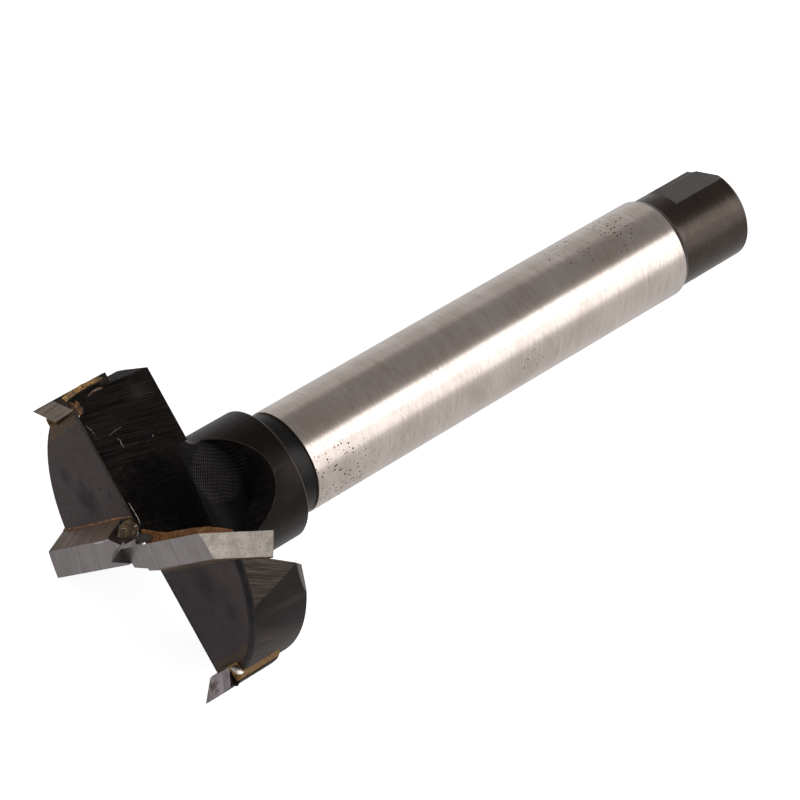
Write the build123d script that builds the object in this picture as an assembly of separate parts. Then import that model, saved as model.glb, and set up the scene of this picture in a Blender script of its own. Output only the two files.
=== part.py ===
from build123d import *
import os
from math import acos, cos, degrees, radians, sin, tan

# A 35 mm hinge-cup bit with brazed carbide plates. All sizes are in millimetres and degrees.
# Everything is first made about the bit's own axis: Z points to the cutting end and Z = 0 is the
# front end of the bright shank. A place round the axis is an angle from X towards Y. At the end the
# finished pieces are laid down on the floor as the bit comes to rest.

# Turned steel
TAIL_RADIUS = 5.6
TAIL_LENGTH = 10.3
TAIL_FILLET = 0.45
SHANK_RADIUS = 6.0
SHANK_LENGTH = 56.0
SHANK_CHAMFER = 0.7
SHANK_BREAK = 0.05
NECK_RADIUS = 5.8
NECK_LENGTH = 2.6
NECK_FILLET = 0.12
COLLAR_RADIUS = 7.5
COLLAR_BREAK = 0.25

# Cutting circle of the spurs, with the plates' corners, the brass and the steel a little inside it
CUTTING_RADIUS = 17.475
EDGE_SETBACK = 0.125
BRASS_SETBACK = 0.105
HEAD_SETBACK = 0.475
EDGE_RADIUS = CUTTING_RADIUS - EDGE_SETBACK
BRASS_RADIUS = CUTTING_RADIUS - BRASS_SETBACK
HEAD_RADIUS = CUTTING_RADIUS - HEAD_SETBACK

# Turned head
HEAD_REAR = 11.1
HEAD_THICKNESS = 7.45
HEAD_FRONT = HEAD_REAR + HEAD_THICKNESS
HEAD_FILLET = 1.5
REAR_FILLET = 0.3
FRONT_FILLET = 0.57

# Flat on the tail for a clamping screw
FLAT_DEPTH = 0.8
FLAT_TURN = -11.6
FLAT_LENGTH = 7.9

# Milled gullets: each plane is told by the turn of its outward side about the axis, by how far that
# side leans towards the cutting end, and by the height at which the plane crosses the axis
FACE_TURN = -76.5
FACE_LEAN = 32.7
FACE_RISE = 0.3
FACE_CROSSING = HEAD_FRONT + FACE_RISE
WALL_TURN = 8.0
WALL_LEAN = -33.0
WALL_RISE = 4.5
WALL_CROSSING = HEAD_FRONT + WALL_RISE

# Ground off the wing: its rim ahead of the spur, and the rear corner at its trailing end
RIM_GROUND_TURN = 3.0
RIM_GROUND_DEPTH = 0.55
RIM_GROUND_DISTANCE = HEAD_RADIUS - RIM_GROUND_DEPTH
REAR_GROUND_TURN = 70.9
REAR_GROUND_LEAN = -30.3
REAR_GROUND_DEPTH = 0.44

# Round-ended pocket that runs each gullet out into the collar
POCKET_RADIUS = 6.0
POCKET_TURN = -80.0
POCKET_LEAN = -12.0
POCKET_FLOOR_CROSSING = -5.9
POCKET_CENTRE = (2.9, -7.0, 11.5)

# Cutting plates: the first and the second differ in their place and in the cut at their inner heel
EDGE_RISE = 2.87
EDGE_HEIGHT = HEAD_FRONT + EDGE_RISE
PLATE_THICKNESS = 2.58
PLATE_LENGTH = 8.6
PLATE_ALLOWANCE = 2.0
SEAT_OPENING = HEAD_RADIUS / 2
RAKE_ANGLE = 24.8
CLEARANCE_ANGLE = 7.0
AHEAD_OF_CENTRE = (0.73, 1.15)
HEEL_CUT_TURNS = (180.0, 168.0)
HEEL_CUT_DISTANCES = (1.6, 0.9)
HEEL_CUT_LENGTH = 3.2
BRAZE_GAP = 0.12

# Centre point, ground on the second plate: three planes that meet on the axis
POINT_RISE = 1.68
POINT_HEIGHT = EDGE_HEIGHT + POINT_RISE
JOINT_TURN = -76.6
JOINT_LEAN = 3.6
POINT_SIDE_TURNS = (23.0, 159.0)
POINT_SIDE_LEANS = (28.5, 24.6)
POINT_ROOT_DEPTH = 0.62
POINT_ROOT = EDGE_HEIGHT - POINT_ROOT_DEPTH

# Scoring spurs: bevel and relief are the two ground planes, told by their rise at the spur's rim
SPUR_THICKNESS = 2.075
SPUR_MIDDLE_TURN = 18.0
SPUR_TRAILING_TURN = 10.0
SPUR_LEADING_TURN = 27.9
SPUR_DEPTH = 4.85
SPUR_ROOT = HEAD_FRONT - SPUR_DEPTH
SPUR_RISE = 4.45
SPUR_TOP = HEAD_FRONT + SPUR_RISE
BEVEL_TURN = 163.1
BEVEL_LEAN = 47.2
BEVEL_RISE = 3.402
RELIEF_TURN = -130.7
RELIEF_LEAN = 41.4
RELIEF_RISE = 3.627
SLOT_LEADING_TURN = 32.0
BRASS_BEVEL_TURN = 48.7
BRASS_BEVEL_DEPTH = 1.09
BRASS_CLIMB_ANGLE = 28.0

# A block larger than the bit, for cutting along a plane
REACH = 160.0

RIGHT_ANGLE = 90.0
HALF_TURN = 180.0
FLOOR_STEPS = 20
TAIL_END = -SHANK_LENGTH - TAIL_LENGTH
ROUND_Z = Axis.Z
DISC = (Align.CENTER, Align.CENTER, Align.MIN)


def outward(turn, lean):
    """Unit vector turned about the axis from X and leaning up towards the cutting end."""
    flat = cos(radians(lean))
    return Vector(flat * cos(radians(turn)), flat * sin(radians(turn)), sin(radians(lean)))


def beyond(turn, lean, crossing, shift=0.0):
    """All space on the outward side of a plane that crosses the axis at a height."""
    normal = outward(turn, lean)
    plane = Plane(origin=Vector(0, 0, crossing) + normal * shift, z_dir=normal)
    return plane * Box(REACH, REACH, REACH, align=DISC)


def past(turn, distance):
    """All space further out than a plane parallel to the axis."""
    return beyond(turn, 0.0, 0.0, distance)


def above(height):
    return Pos(0, 0, height) * Box(REACH, REACH, REACH, align=DISC)


def bar(radius):
    return Pos(0, 0, -REACH / 2) * Cylinder(radius, REACH, align=DISC)


def half_turn(shape, count):
    return shape.rotate(ROUND_Z, HALF_TURN * count)


def corner(face, radius, height):
    """The corner of the half section at a radius and a height."""
    return face.vertices().sort_by_distance((radius, 0, height))[0]


def turned_profile():
    """Half section of the turned steel, with its axis on Z, tail down."""
    corners = [
        (0, TAIL_END),
        (TAIL_RADIUS, TAIL_END),
        (TAIL_RADIUS, -SHANK_LENGTH),
        (SHANK_RADIUS, -SHANK_LENGTH + SHANK_CHAMFER),
        (SHANK_RADIUS, -SHANK_BREAK),
        (SHANK_RADIUS - SHANK_BREAK, 0),
        (NECK_RADIUS, 0),
        (NECK_RADIUS, NECK_LENGTH),
        (COLLAR_RADIUS - COLLAR_BREAK, NECK_LENGTH),
        (COLLAR_RADIUS, NECK_LENGTH + COLLAR_BREAK),
        (COLLAR_RADIUS, HEAD_REAR),
        (HEAD_RADIUS, HEAD_REAR),
        (HEAD_RADIUS, HEAD_FRONT),
        (0, HEAD_FRONT),
    ]
    face = make_face(Polyline([(r, 0, z) for r, z in corners], close=True))
    roundings = [
        (TAIL_RADIUS, TAIL_END, TAIL_FILLET),
        (NECK_RADIUS, NECK_LENGTH, NECK_FILLET),
        (COLLAR_RADIUS, HEAD_REAR, HEAD_FILLET),
        (HEAD_RADIUS, HEAD_REAR, REAR_FILLET),
        (HEAD_RADIUS, HEAD_FRONT, FRONT_FILLET),
    ]
    for radius, height, rounding in roundings:
        face = fillet(corner(face, radius, height), rounding)
    return face


def gullet():
    """Chip space in front of the first cutting plate, with the pocket that clears the collar."""
    wedge = beyond(FACE_TURN, FACE_LEAN, FACE_CROSSING) & beyond(WALL_TURN, WALL_LEAN, WALL_CROSSING)
    axis = outward(POCKET_TURN, POCKET_LEAN)
    centre = Vector(*POCKET_CENTRE)
    floor = Vector(0, 0, POCKET_FLOOR_CROSSING)
    base = centre - axis * (centre - floor).dot(axis)
    pocket = Plane(origin=base, z_dir=axis) * Cylinder(POCKET_RADIUS, REACH / 4, align=DISC)
    return wedge + pocket


def ground_off():
    """The steel ground off a wing along its rim ahead of the spur and at its rear trailing corner."""
    reach = HEAD_RADIUS * cos(radians(REAR_GROUND_LEAN)) - REAR_GROUND_DEPTH
    rear = beyond(REAR_GROUND_TURN, REAR_GROUND_LEAN, HEAD_REAR, reach) & above(HEAD_REAR)
    return past(RIM_GROUND_TURN, RIM_GROUND_DISTANCE) + rear


def plate_frame(ahead):
    """Frame on the rake face: X runs in along the edge, Y up the face, Z into the gullet."""
    normal = outward(WALL_TURN, -RAKE_ANGLE)
    along = outward(WALL_TURN + RIGHT_ANGLE, 0.0)
    start = outward(WALL_TURN, 0.0) * ahead + Vector(0, 0, EDGE_HEIGHT)
    return Plane(origin=start, x_dir=along, z_dir=normal)


def plate_block(ahead, gap, front, top):
    """The plate's blank, grown by a gap at the back and at the rear end."""
    block = Box(
        2 * HEAD_RADIUS,
        PLATE_LENGTH + gap + top,
        PLATE_THICKNESS + gap + front,
        align=(Align.CENTER, Align.MIN, Align.MIN),
    )
    block = Pos(-HEAD_RADIUS / 2, -PLATE_LENGTH - gap, -PLATE_THICKNESS - gap) * block
    return plate_frame(ahead) * block


def over_edge(ahead):
    """All that the clearance grinding takes off above the cutting edge."""
    start = outward(WALL_TURN, 0.0) * ahead + Vector(0, 0, EDGE_HEIGHT)
    normal = outward(WALL_TURN + HALF_TURN, RIGHT_ANGLE - CLEARANCE_ANGLE)
    return Plane(origin=start, z_dir=normal) * Box(REACH, REACH, REACH, align=DISC)


def up_to_joint(shape, number, gap=0.0):
    """The share of a shape on a plate's own side of the joint at the centre, and a gap past it."""
    if number == 0:
        return shape & beyond(JOINT_TURN, JOINT_LEAN, POINT_HEIGHT, -gap)
    return shape - beyond(JOINT_TURN + HALF_TURN, JOINT_LEAN, POINT_HEIGHT, gap)


def seat(number):
    """The plate's seat: a bed with the brazing gap, and a mouth open to the gullet and cutting end."""
    ahead = AHEAD_OF_CENTRE[number]
    bed = plate_block(ahead, BRAZE_GAP, 0.0, SEAT_OPENING)
    bed &= beyond(FACE_TURN, FACE_LEAN, FACE_CROSSING, -BRAZE_GAP)
    mouth = plate_block(ahead, BRAZE_GAP, SEAT_OPENING, SEAT_OPENING)
    mouth &= beyond(FACE_TURN, FACE_LEAN, FACE_CROSSING)
    return up_to_joint(bed, number, BRAZE_GAP) + up_to_joint(mouth, number, BRAZE_GAP)


def centre_point():
    """The three-sided point down to its root inside the second plate."""
    size = 2 * (POINT_HEIGHT - POINT_ROOT)
    point = Pos(0, 0, POINT_ROOT) * Box(2 * size, 2 * size, size, align=DISC)
    point -= beyond(JOINT_TURN, JOINT_LEAN, POINT_HEIGHT)
    for turn, lean in zip(POINT_SIDE_TURNS, POINT_SIDE_LEANS):
        point -= beyond(turn, lean, POINT_HEIGHT)
    return point


def cutter(number):
    """A cutting plate, in the place of the first one."""
    ahead = AHEAD_OF_CENTRE[number]
    plate = plate_block(ahead, 0.0, 0.0, PLATE_ALLOWANCE) & bar(EDGE_RADIUS)
    plate &= beyond(FACE_TURN, FACE_LEAN, FACE_CROSSING)
    heel = past(HEEL_CUT_TURNS[number], HEEL_CUT_DISTANCES[number])
    plate -= heel & above(HEAD_FRONT) & past(RIGHT_ANGLE, -HEEL_CUT_LENGTH)
    plate = up_to_joint(plate, number) - over_edge(ahead)
    if number == 0:
        return plate
    return plate + half_turn(centre_point(), 1)


def cutter_braze(number):
    """Brass film behind the plate, under its rear end and against the gullet's face."""
    ahead = AHEAD_OF_CENTRE[number]
    film = plate_block(ahead, BRAZE_GAP, 0.0, 0.0) & bar(EDGE_RADIUS - BRAZE_GAP)
    film &= beyond(FACE_TURN, FACE_LEAN, FACE_CROSSING, -BRAZE_GAP)
    film = up_to_joint(film, number)
    blank = plate_block(ahead, 0.0, 0.0, PLATE_ALLOWANCE)
    return film - above(HEAD_FRONT) - (blank & beyond(FACE_TURN, FACE_LEAN, FACE_CROSSING))


def spur_sector(trailing, leading, gap):
    """The block between two radial planes, outside the spur's flat inner face."""
    outside = past(SPUR_MIDDLE_TURN, CUTTING_RADIUS - SPUR_THICKNESS - gap)
    between = past(trailing + RIGHT_ANGLE, -gap) & past(leading - RIGHT_ANGLE, 0.0)
    return outside & between & above(SPUR_ROOT - gap)


def over_spur(turn, lean, rise):
    """All that one ground plane takes off the spur, told by its rise over the steel at the rim."""
    rim = outward(SPUR_MIDDLE_TURN, 0.0) * CUTTING_RADIUS + Vector(0, 0, HEAD_FRONT + rise)
    return Plane(origin=rim, z_dir=outward(turn, lean)) * Box(REACH, REACH, REACH, align=DISC)


def spur():
    plate = spur_sector(SPUR_TRAILING_TURN, SPUR_LEADING_TURN, 0.0) & bar(CUTTING_RADIUS)
    plate -= over_spur(BEVEL_TURN, BEVEL_LEAN, BEVEL_RISE)
    plate -= over_spur(RELIEF_TURN, RELIEF_LEAN, RELIEF_RISE)
    return plate - above(SPUR_TOP)


def spur_slot():
    return spur_sector(SPUR_TRAILING_TURN, SLOT_LEADING_TURN, BRAZE_GAP) - above(SPUR_TOP)


def spur_braze():
    """Brass round the spur in its slot, climbing its leading side from the steel's front face."""
    brass = spur_slot() & bar(BRASS_RADIUS)
    brass -= past(BRASS_BEVEL_TURN, BRASS_RADIUS - BRASS_BEVEL_DEPTH)
    brass -= past(RIM_GROUND_TURN, RIM_GROUND_DISTANCE)
    brass -= beyond(FACE_TURN, FACE_LEAN, FACE_CROSSING)
    front = above(HEAD_FRONT) - past(SPUR_LEADING_TURN + RIGHT_ANGLE, 0.0)
    seam = outward(SLOT_LEADING_TURN, 0.0) * HEAD_RADIUS + Vector(0, 0, HEAD_FRONT)
    climb = outward(SLOT_LEADING_TURN + RIGHT_ANGLE, RIGHT_ANGLE - BRASS_CLIMB_ANGLE)
    ramp = Plane(origin=seam, z_dir=climb) * Box(REACH, REACH, REACH, align=DISC)
    return brass - front - ramp - spur()


def body():
    steel = revolve(turned_profile(), ROUND_Z)
    for count in range(2):
        steel -= half_turn(gullet(), count)
        steel -= half_turn(ground_off(), count)
        steel -= half_turn(seat(count), count)
        steel -= half_turn(spur_slot(), count)
    flat = past(FLAT_TURN, TAIL_RADIUS - FLAT_DEPTH) - above(TAIL_END + FLAT_LENGTH)
    return steel - flat


def pieces():
    """Each node's name with its solid, about the bit's own axis."""
    made = {"body": body()}
    for count in range(2):
        made[f"cutter_{count + 1}"] = half_turn(cutter(count), count)
        made[f"cutter_braze_{count + 1}"] = half_turn(cutter_braze(count), count)
        made[f"spur_{count + 1}"] = half_turn(spur(), count)
        made[f"spur_braze_{count + 1}"] = half_turn(spur_braze(), count)
    return made


def meeting(turn_1, distance_1, turn_2, distance_2, height):
    """Where two planes along the axis meet at a height, each told by its turn and its distance."""
    split = sin(radians(turn_2 - turn_1))
    x = (distance_1 * sin(radians(turn_2)) - distance_2 * sin(radians(turn_1))) / split
    y = (distance_2 * cos(radians(turn_1)) - distance_1 * cos(radians(turn_2))) / split
    return Vector(x, y, height)


def contacts():
    """The two corners of the head that the bit lies on: a wing's rear corner and a cutting corner."""
    depth = (FACE_CROSSING - HEAD_REAR) * tan(radians(FACE_LEAN))
    ground_turn = RIM_GROUND_TURN + HALF_TURN
    wing = meeting(FACE_TURN + HALF_TURN, depth, ground_turn, RIM_GROUND_DISTANCE, HEAD_REAR)
    edge = outward(WALL_TURN - degrees(acos(AHEAD_OF_CENTRE[1] / EDGE_RADIUS)) + HALF_TURN, 0.0)
    return wing, edge * EDGE_RADIUS + Vector(0, 0, EDGE_HEIGHT)


def floor_plane():
    """The floor under the bit: it touches both corners and the rounded edge of the tail's end."""
    wing, edge = contacts()
    tail = Vector(0, 0, TAIL_END + TAIL_FILLET)
    touch = tail
    for _ in range(FLOOR_STEPS):
        down = (wing - touch).cross(edge - touch).normalized()
        if down.dot(wing) < 0:
            down = down * -1
        level = Vector(down.X, down.Y, 0).normalized()
        touch = tail + level * (TAIL_RADIUS - TAIL_FILLET) + down * TAIL_FILLET
    up = down * -1
    back = Vector(0, 0, -1) + up * up.Z
    return Plane(origin=touch, x_dir=back, z_dir=up)


def laid_down(made):
    """The pieces on the floor, head towards -X, with the origin under the middle of the whole."""
    floor = floor_plane()
    lying = {name: floor.to_local_coords(shape) for name, shape in made.items()}
    boxes = [shape.bounding_box() for shape in lying.values()]
    middle_x = (min(box.min.X for box in boxes) + max(box.max.X for box in boxes)) / 2
    middle_y = (min(box.min.Y for box in boxes) + max(box.max.Y for box in boxes)) / 2
    shift = Pos(-middle_x, -middle_y, 0)
    return {name: shift * shape for name, shape in lying.items()}


os.makedirs("parts", exist_ok=True)
for name, shape in laid_down(pieces()).items():
    export_step(shape, f"parts/{name}.step")
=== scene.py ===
import logging
from dataclasses import dataclass, field
from enum import Enum
from math import cos, radians, sin
from typing import Any, Iterable

import bmesh
import bpy
import numpy as np
from mathutils import Matrix, Vector


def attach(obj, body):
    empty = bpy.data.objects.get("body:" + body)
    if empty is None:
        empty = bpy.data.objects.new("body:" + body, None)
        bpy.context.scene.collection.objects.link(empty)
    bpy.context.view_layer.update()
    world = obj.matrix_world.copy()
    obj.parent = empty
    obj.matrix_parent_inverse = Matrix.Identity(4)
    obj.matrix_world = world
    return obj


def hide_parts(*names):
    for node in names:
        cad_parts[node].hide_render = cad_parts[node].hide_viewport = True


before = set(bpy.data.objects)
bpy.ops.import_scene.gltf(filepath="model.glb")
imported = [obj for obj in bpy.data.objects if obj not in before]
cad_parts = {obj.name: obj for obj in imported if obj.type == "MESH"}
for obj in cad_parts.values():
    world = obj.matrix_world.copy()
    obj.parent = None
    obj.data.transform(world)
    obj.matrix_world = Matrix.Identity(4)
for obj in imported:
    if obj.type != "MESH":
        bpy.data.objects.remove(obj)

# The dressed model of a 35 mm hinge-cup bit with brazed carbide plates.
# Sizes of the bit are in millimetres about its own axis: Z runs to the cutting end and Z = 0 is the
# front end of the bright shank. A turn is an angle in degrees from X towards Y, and a lean is one from
# square to the axis towards the cutting end. BitPlace carries such places to the row frame, where
# Blender works in metres.
# A noise value lies mostly between 0.3 and 0.7, so what fades over noise starts and ends in that range.

LOG = logging.getLogger("bit")
MM = 0.001

HALF_TURN = 180.0
RIGHT_ANGLE = 90.0
CREASE = 24.0
CARBIDE_CREASE = 20.0
GROUND_EDGE = 0.03

# Height of the head's front, and the planes that several sub-assemblies share, each told by the turn and
# the lean of its outward side
FRONT = 18.55
HEAD_RADIUS = 17.0
FACE_TURN = -76.5
FACE_LEAN = 32.7
WALL_TURN = 8.0
SPUR_TURN = 18.0
SPUR_TRAILING_SIDE = -80.0
SPUR_LEADING_SIDE = 117.9

Place = tuple[float, float, float]
Outline = tuple[Place, ...]
Colour = tuple[float, float, float, float]

NOWHERE = (0.0, 0.0, 0.0)
AXIS = (0.0, 0.0, 1.0)
ALONG_X = (1.0, 0.0, 0.0)


class Zone(Enum):
    """The differently worked faces of the steel."""

    FRONT = "front"
    FRONT_BAND = "front_band"
    RIM = "rim"
    REAR_BAND = "rear_band"
    REAR = "rear"
    GULLET = "gullet"
    POCKET = "pocket"
    POCKET_FLOOR = "pocket_floor"
    COLLAR = "collar"
    NECK = "neck"
    SEAT = "seat"


class Facet(Enum):
    """The differently worked faces of a carbide plate."""

    GROUND = "ground"
    RAKE = "rake"
    BACK = "back"
    HEEL = "heel"
    END = "end"
    POINT = "point"


class Tooth(Enum):
    """The differently worked faces of a spur."""

    SIDE = "side"
    BEVEL = "bevel"
    RELIEF = "relief"


@dataclass(frozen=True)
class BitPlace:
    """How the bit lies on the floor: tipped off the level and rolled about its own axis, in degrees.

    origin is where the front end of the bright shank lies in the row frame, in millimetres.
    """

    tip: float = 5.5132093
    roll: float = 42.1383075
    origin: Place = (-21.7485146, 0.0, 11.9027307)

    @property
    def axes(self) -> np.ndarray:
        """The bit's axes as rows: a level and a rising side of it turned by the roll, and its own axis.

        Returns:
            The three axes in the row frame.
        """
        tip, roll = radians(self.tip), radians(self.roll)
        level = np.array([0.0, 1.0, 0.0])
        rising = np.array([sin(tip), 0.0, cos(tip)])
        x_axis = cos(roll) * rising + sin(roll) * level
        y_axis = cos(roll) * level - sin(roll) * rising
        return np.array([x_axis, y_axis, [-cos(tip), 0.0, sin(tip)]])

    def to_row(self, points: np.ndarray) -> np.ndarray:
        """Carries places on the bit to the row frame: each coordinate times its axis, added to the origin.

        Args:
            points: places about the bit's axis in millimetres, one a row.

        Returns:
            The same places in the row frame in metres.
        """
        return (np.asarray(points, float) @ self.axes + np.array(self.origin)) * MM

    def from_row(self, points: np.ndarray) -> np.ndarray:
        """Carries row-frame places in metres back to the bit in millimetres."""
        return (np.asarray(points, float) / MM - np.array(self.origin)) @ self.axes.T

    def direction(self, vector: Iterable[float]) -> Vector:
        """A direction on the bit, turned into the row frame."""
        return Vector((np.array(list(vector), float) @ self.axes).tolist())

    def spot(self, place: Iterable[float]) -> Vector:
        """A single place on the bit, in the row frame in metres."""
        return Vector(self.to_row(np.array([list(place)]))[0].tolist())


BIT = BitPlace()


def on_turn(turn: float) -> np.ndarray:
    """Unit vector square to the axis at a turn about it."""
    return np.array([cos(radians(turn)), sin(radians(turn)), 0.0])


def leaning(turn: float, lean: float) -> np.ndarray:
    """Unit vector that points out at a turn and leans up towards the cutting end."""
    return cos(radians(lean)) * on_turn(turn) + sin(radians(lean)) * np.array(AXIS)


def on_half(number: int, place: Iterable[float]) -> Place:
    """A place or a direction on the bit's first half, or carried to its second half by half a turn."""
    x, y, z = place
    return (-x, -y, z) if number == 2 else (x, y, z)


def outline_on(number: int, outline: Iterable[Place]) -> Outline:
    """All places of an outline or a path, on the bit's first or second half."""
    return tuple(on_half(number, place) for place in outline)


def waves(places: np.ndarray, seed: int, pitch: float) -> np.ndarray:
    """Smooth unevenness of about -1 to 1: the sum of six sines that run in seeded directions.

    Args:
        places: places in millimetres, coordinates last.
        seed: picks the directions.
        pitch: the middle wavelength in millimetres.

    Returns:
        One value for each place.
    """
    dice = np.random.default_rng(seed)
    total = np.zeros(places.shape[:-1])
    for _ in range(6):
        run = dice.normal(size=3)
        run *= 2.0 * np.pi * dice.uniform(0.6, 1.6) / (pitch * np.linalg.norm(run))
        total += np.sin(places @ run + dice.uniform(0.0, 2.0 * np.pi))
    return total / 3.0


def stations_along(path: np.ndarray, count: int, closed: bool) -> tuple[np.ndarray, np.ndarray]:
    """Evenly spaced places along a path of straight stretches.

    Args:
        path: the path's corners, one a row.
        count: how many places.
        closed: leaves out the last place, because the path ends where it starts.

    Returns:
        The places, and how far along the path each lies.
    """
    lengths = np.concatenate([[0.0], np.cumsum(np.linalg.norm(np.diff(path, axis=0), axis=1))])
    stations = np.linspace(0.0, lengths[-1], count, endpoint=not closed)
    places = np.stack([np.interp(stations, lengths, path[:, axis]) for axis in range(3)], -1)
    return places, stations


class Graph:
    """Adds nodes to one node tree and joins them."""

    def __init__(self, tree: bpy.types.NodeTree) -> None:
        """Keeps the tree that the nodes go into."""
        self.tree = tree

    def node(self, kind: str, wires: dict[Any, Any] | None = None, **settings: Any) -> bpy.types.Node:
        """Adds one node.

        Args:
            kind: the node's type without its ShaderNode prefix.
            wires: input name or number to a socket, which is linked, or to a value, which is set.
            settings: the node's own properties.

        Returns:
            The new node.
        """
        made = self.tree.nodes.new("ShaderNode" + kind)
        for key, value in settings.items():
            setattr(made, key, value)
        for key, value in (wires or {}).items():
            self.feed(made.inputs[key], value)
        return made

    def feed(self, socket: bpy.types.NodeSocket, value: Any) -> None:
        """Links a socket to another, or sets it to a value.

        Args:
            socket: the input.
            value: another socket, or a plain value.
        """
        if isinstance(value, bpy.types.NodeSocket):
            self.tree.links.new(value, socket)
        else:
            socket.default_value = value

    def math(self, operation: str, *terms: Any) -> bpy.types.NodeSocket:
        """One Math node of the named operation."""
        return self.node("Math", dict(enumerate(terms)), operation=operation).outputs[0]

    def weighed(self, *pairs: tuple[Any, float]) -> bpy.types.NodeSocket:
        """The sum of values, each times its weight.

        Args:
            pairs: a value with its weight, for each term.

        Returns:
            The sum.
        """
        terms = [self.math("MULTIPLY", value, weight) for value, weight in pairs]
        total = terms[0]
        for term in terms[1:]:
            total = self.math("ADD", total, term)
        return total

    def vector(self, operation: str, *terms: Any) -> bpy.types.Node:
        """One Vector Math node of the named operation."""
        return self.node("VectorMath", dict(enumerate(terms)), operation=operation)

    def combined(self, *parts: Any) -> bpy.types.NodeSocket:
        """A vector from its parts."""
        return self.node("CombineXYZ", dict(enumerate(parts))).outputs[0]

    def dot(self, place: Any, direction: Iterable[float]) -> bpy.types.NodeSocket:
        """How far a place lies along a direction."""
        return self.vector("DOT_PRODUCT", place, tuple(direction)).outputs["Value"]

    def mix(self, factor: Any, first: Any, second: Any) -> bpy.types.NodeSocket:
        """A blend of two colours."""
        return self.node("Mix", {0: factor, 6: first, 7: second}, data_type="RGBA").outputs[2]

    def fade(self, value: Any, start: float, end: float, low: float = 0.0,
             high: float = 1.0) -> bpy.types.NodeSocket:
        """A smooth step from low at start to high at end."""
        wires = {0: value, 1: start, 2: end, 3: low, 4: high}
        return self.node("MapRange", wires, interpolation_type="SMOOTHSTEP").outputs[0]

    def noise(self, place: Any, scale: Any, detail: float = 3.0, rough: float = 0.5,
              warp: float = 0.0) -> bpy.types.NodeSocket:
        """A noise value about a half."""
        wires = {"Vector": place, "Scale": scale, "Detail": detail, "Roughness": rough, "Distortion": warp}
        return self.node("TexNoise", wires).outputs[0]

    def swing(self, reach: Any, *noise: Any) -> bpy.types.NodeSocket:
        """Noise about zero: the noise that the other arguments give, less a half, times reach."""
        return self.math("MULTIPLY", self.math("SUBTRACT", self.noise(*noise), 0.5), reach)

    def effect(self, group: bpy.types.NodeTree, wires: dict[str, Any] | None = None) -> bpy.types.Node:
        """Places a shared effect and sets its inputs.

        Args:
            group: the effect's node group.
            wires: input name to a socket or a value.

        Returns:
            The group's node.
        """
        made = self.tree.nodes.new("ShaderNodeGroup")
        made.node_tree = group
        for key, value in (wires or {}).items():
            self.feed(made.inputs[key], value)
        return made


class Socket(Enum):
    """The kinds of value that an effect takes or puts out."""

    FLOAT = "NodeSocketFloat"
    VECTOR = "NodeSocketVector"


class EffectGraph(Graph):
    """A shader node group with named inputs and outputs."""

    def __init__(self, name: str, inputs: dict[str, Any], outputs: dict[str, Socket]) -> None:
        """Makes the group.

        Args:
            name: the group's name.
            inputs: input name to its default, a number or a triple for a vector.
            outputs: output name to the kind of its value.
        """
        tree = bpy.data.node_groups.new(name, "ShaderNodeTree")
        super().__init__(tree)
        for key, default in inputs.items():
            kind = Socket.VECTOR if isinstance(default, tuple) else Socket.FLOAT
            socket = tree.interface.new_socket(key, in_out="INPUT", socket_type=kind.value)
            socket.default_value = default
        for key, kind in outputs.items():
            tree.interface.new_socket(key, in_out="OUTPUT", socket_type=kind.value)
        self.given = tree.nodes.new("NodeGroupInput").outputs
        self.result = tree.nodes.new("NodeGroupOutput").inputs

    def put(self, name: str, value: bpy.types.NodeSocket) -> None:
        """Joins a value to a named output."""
        self.tree.links.new(value, self.result[name])


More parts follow.
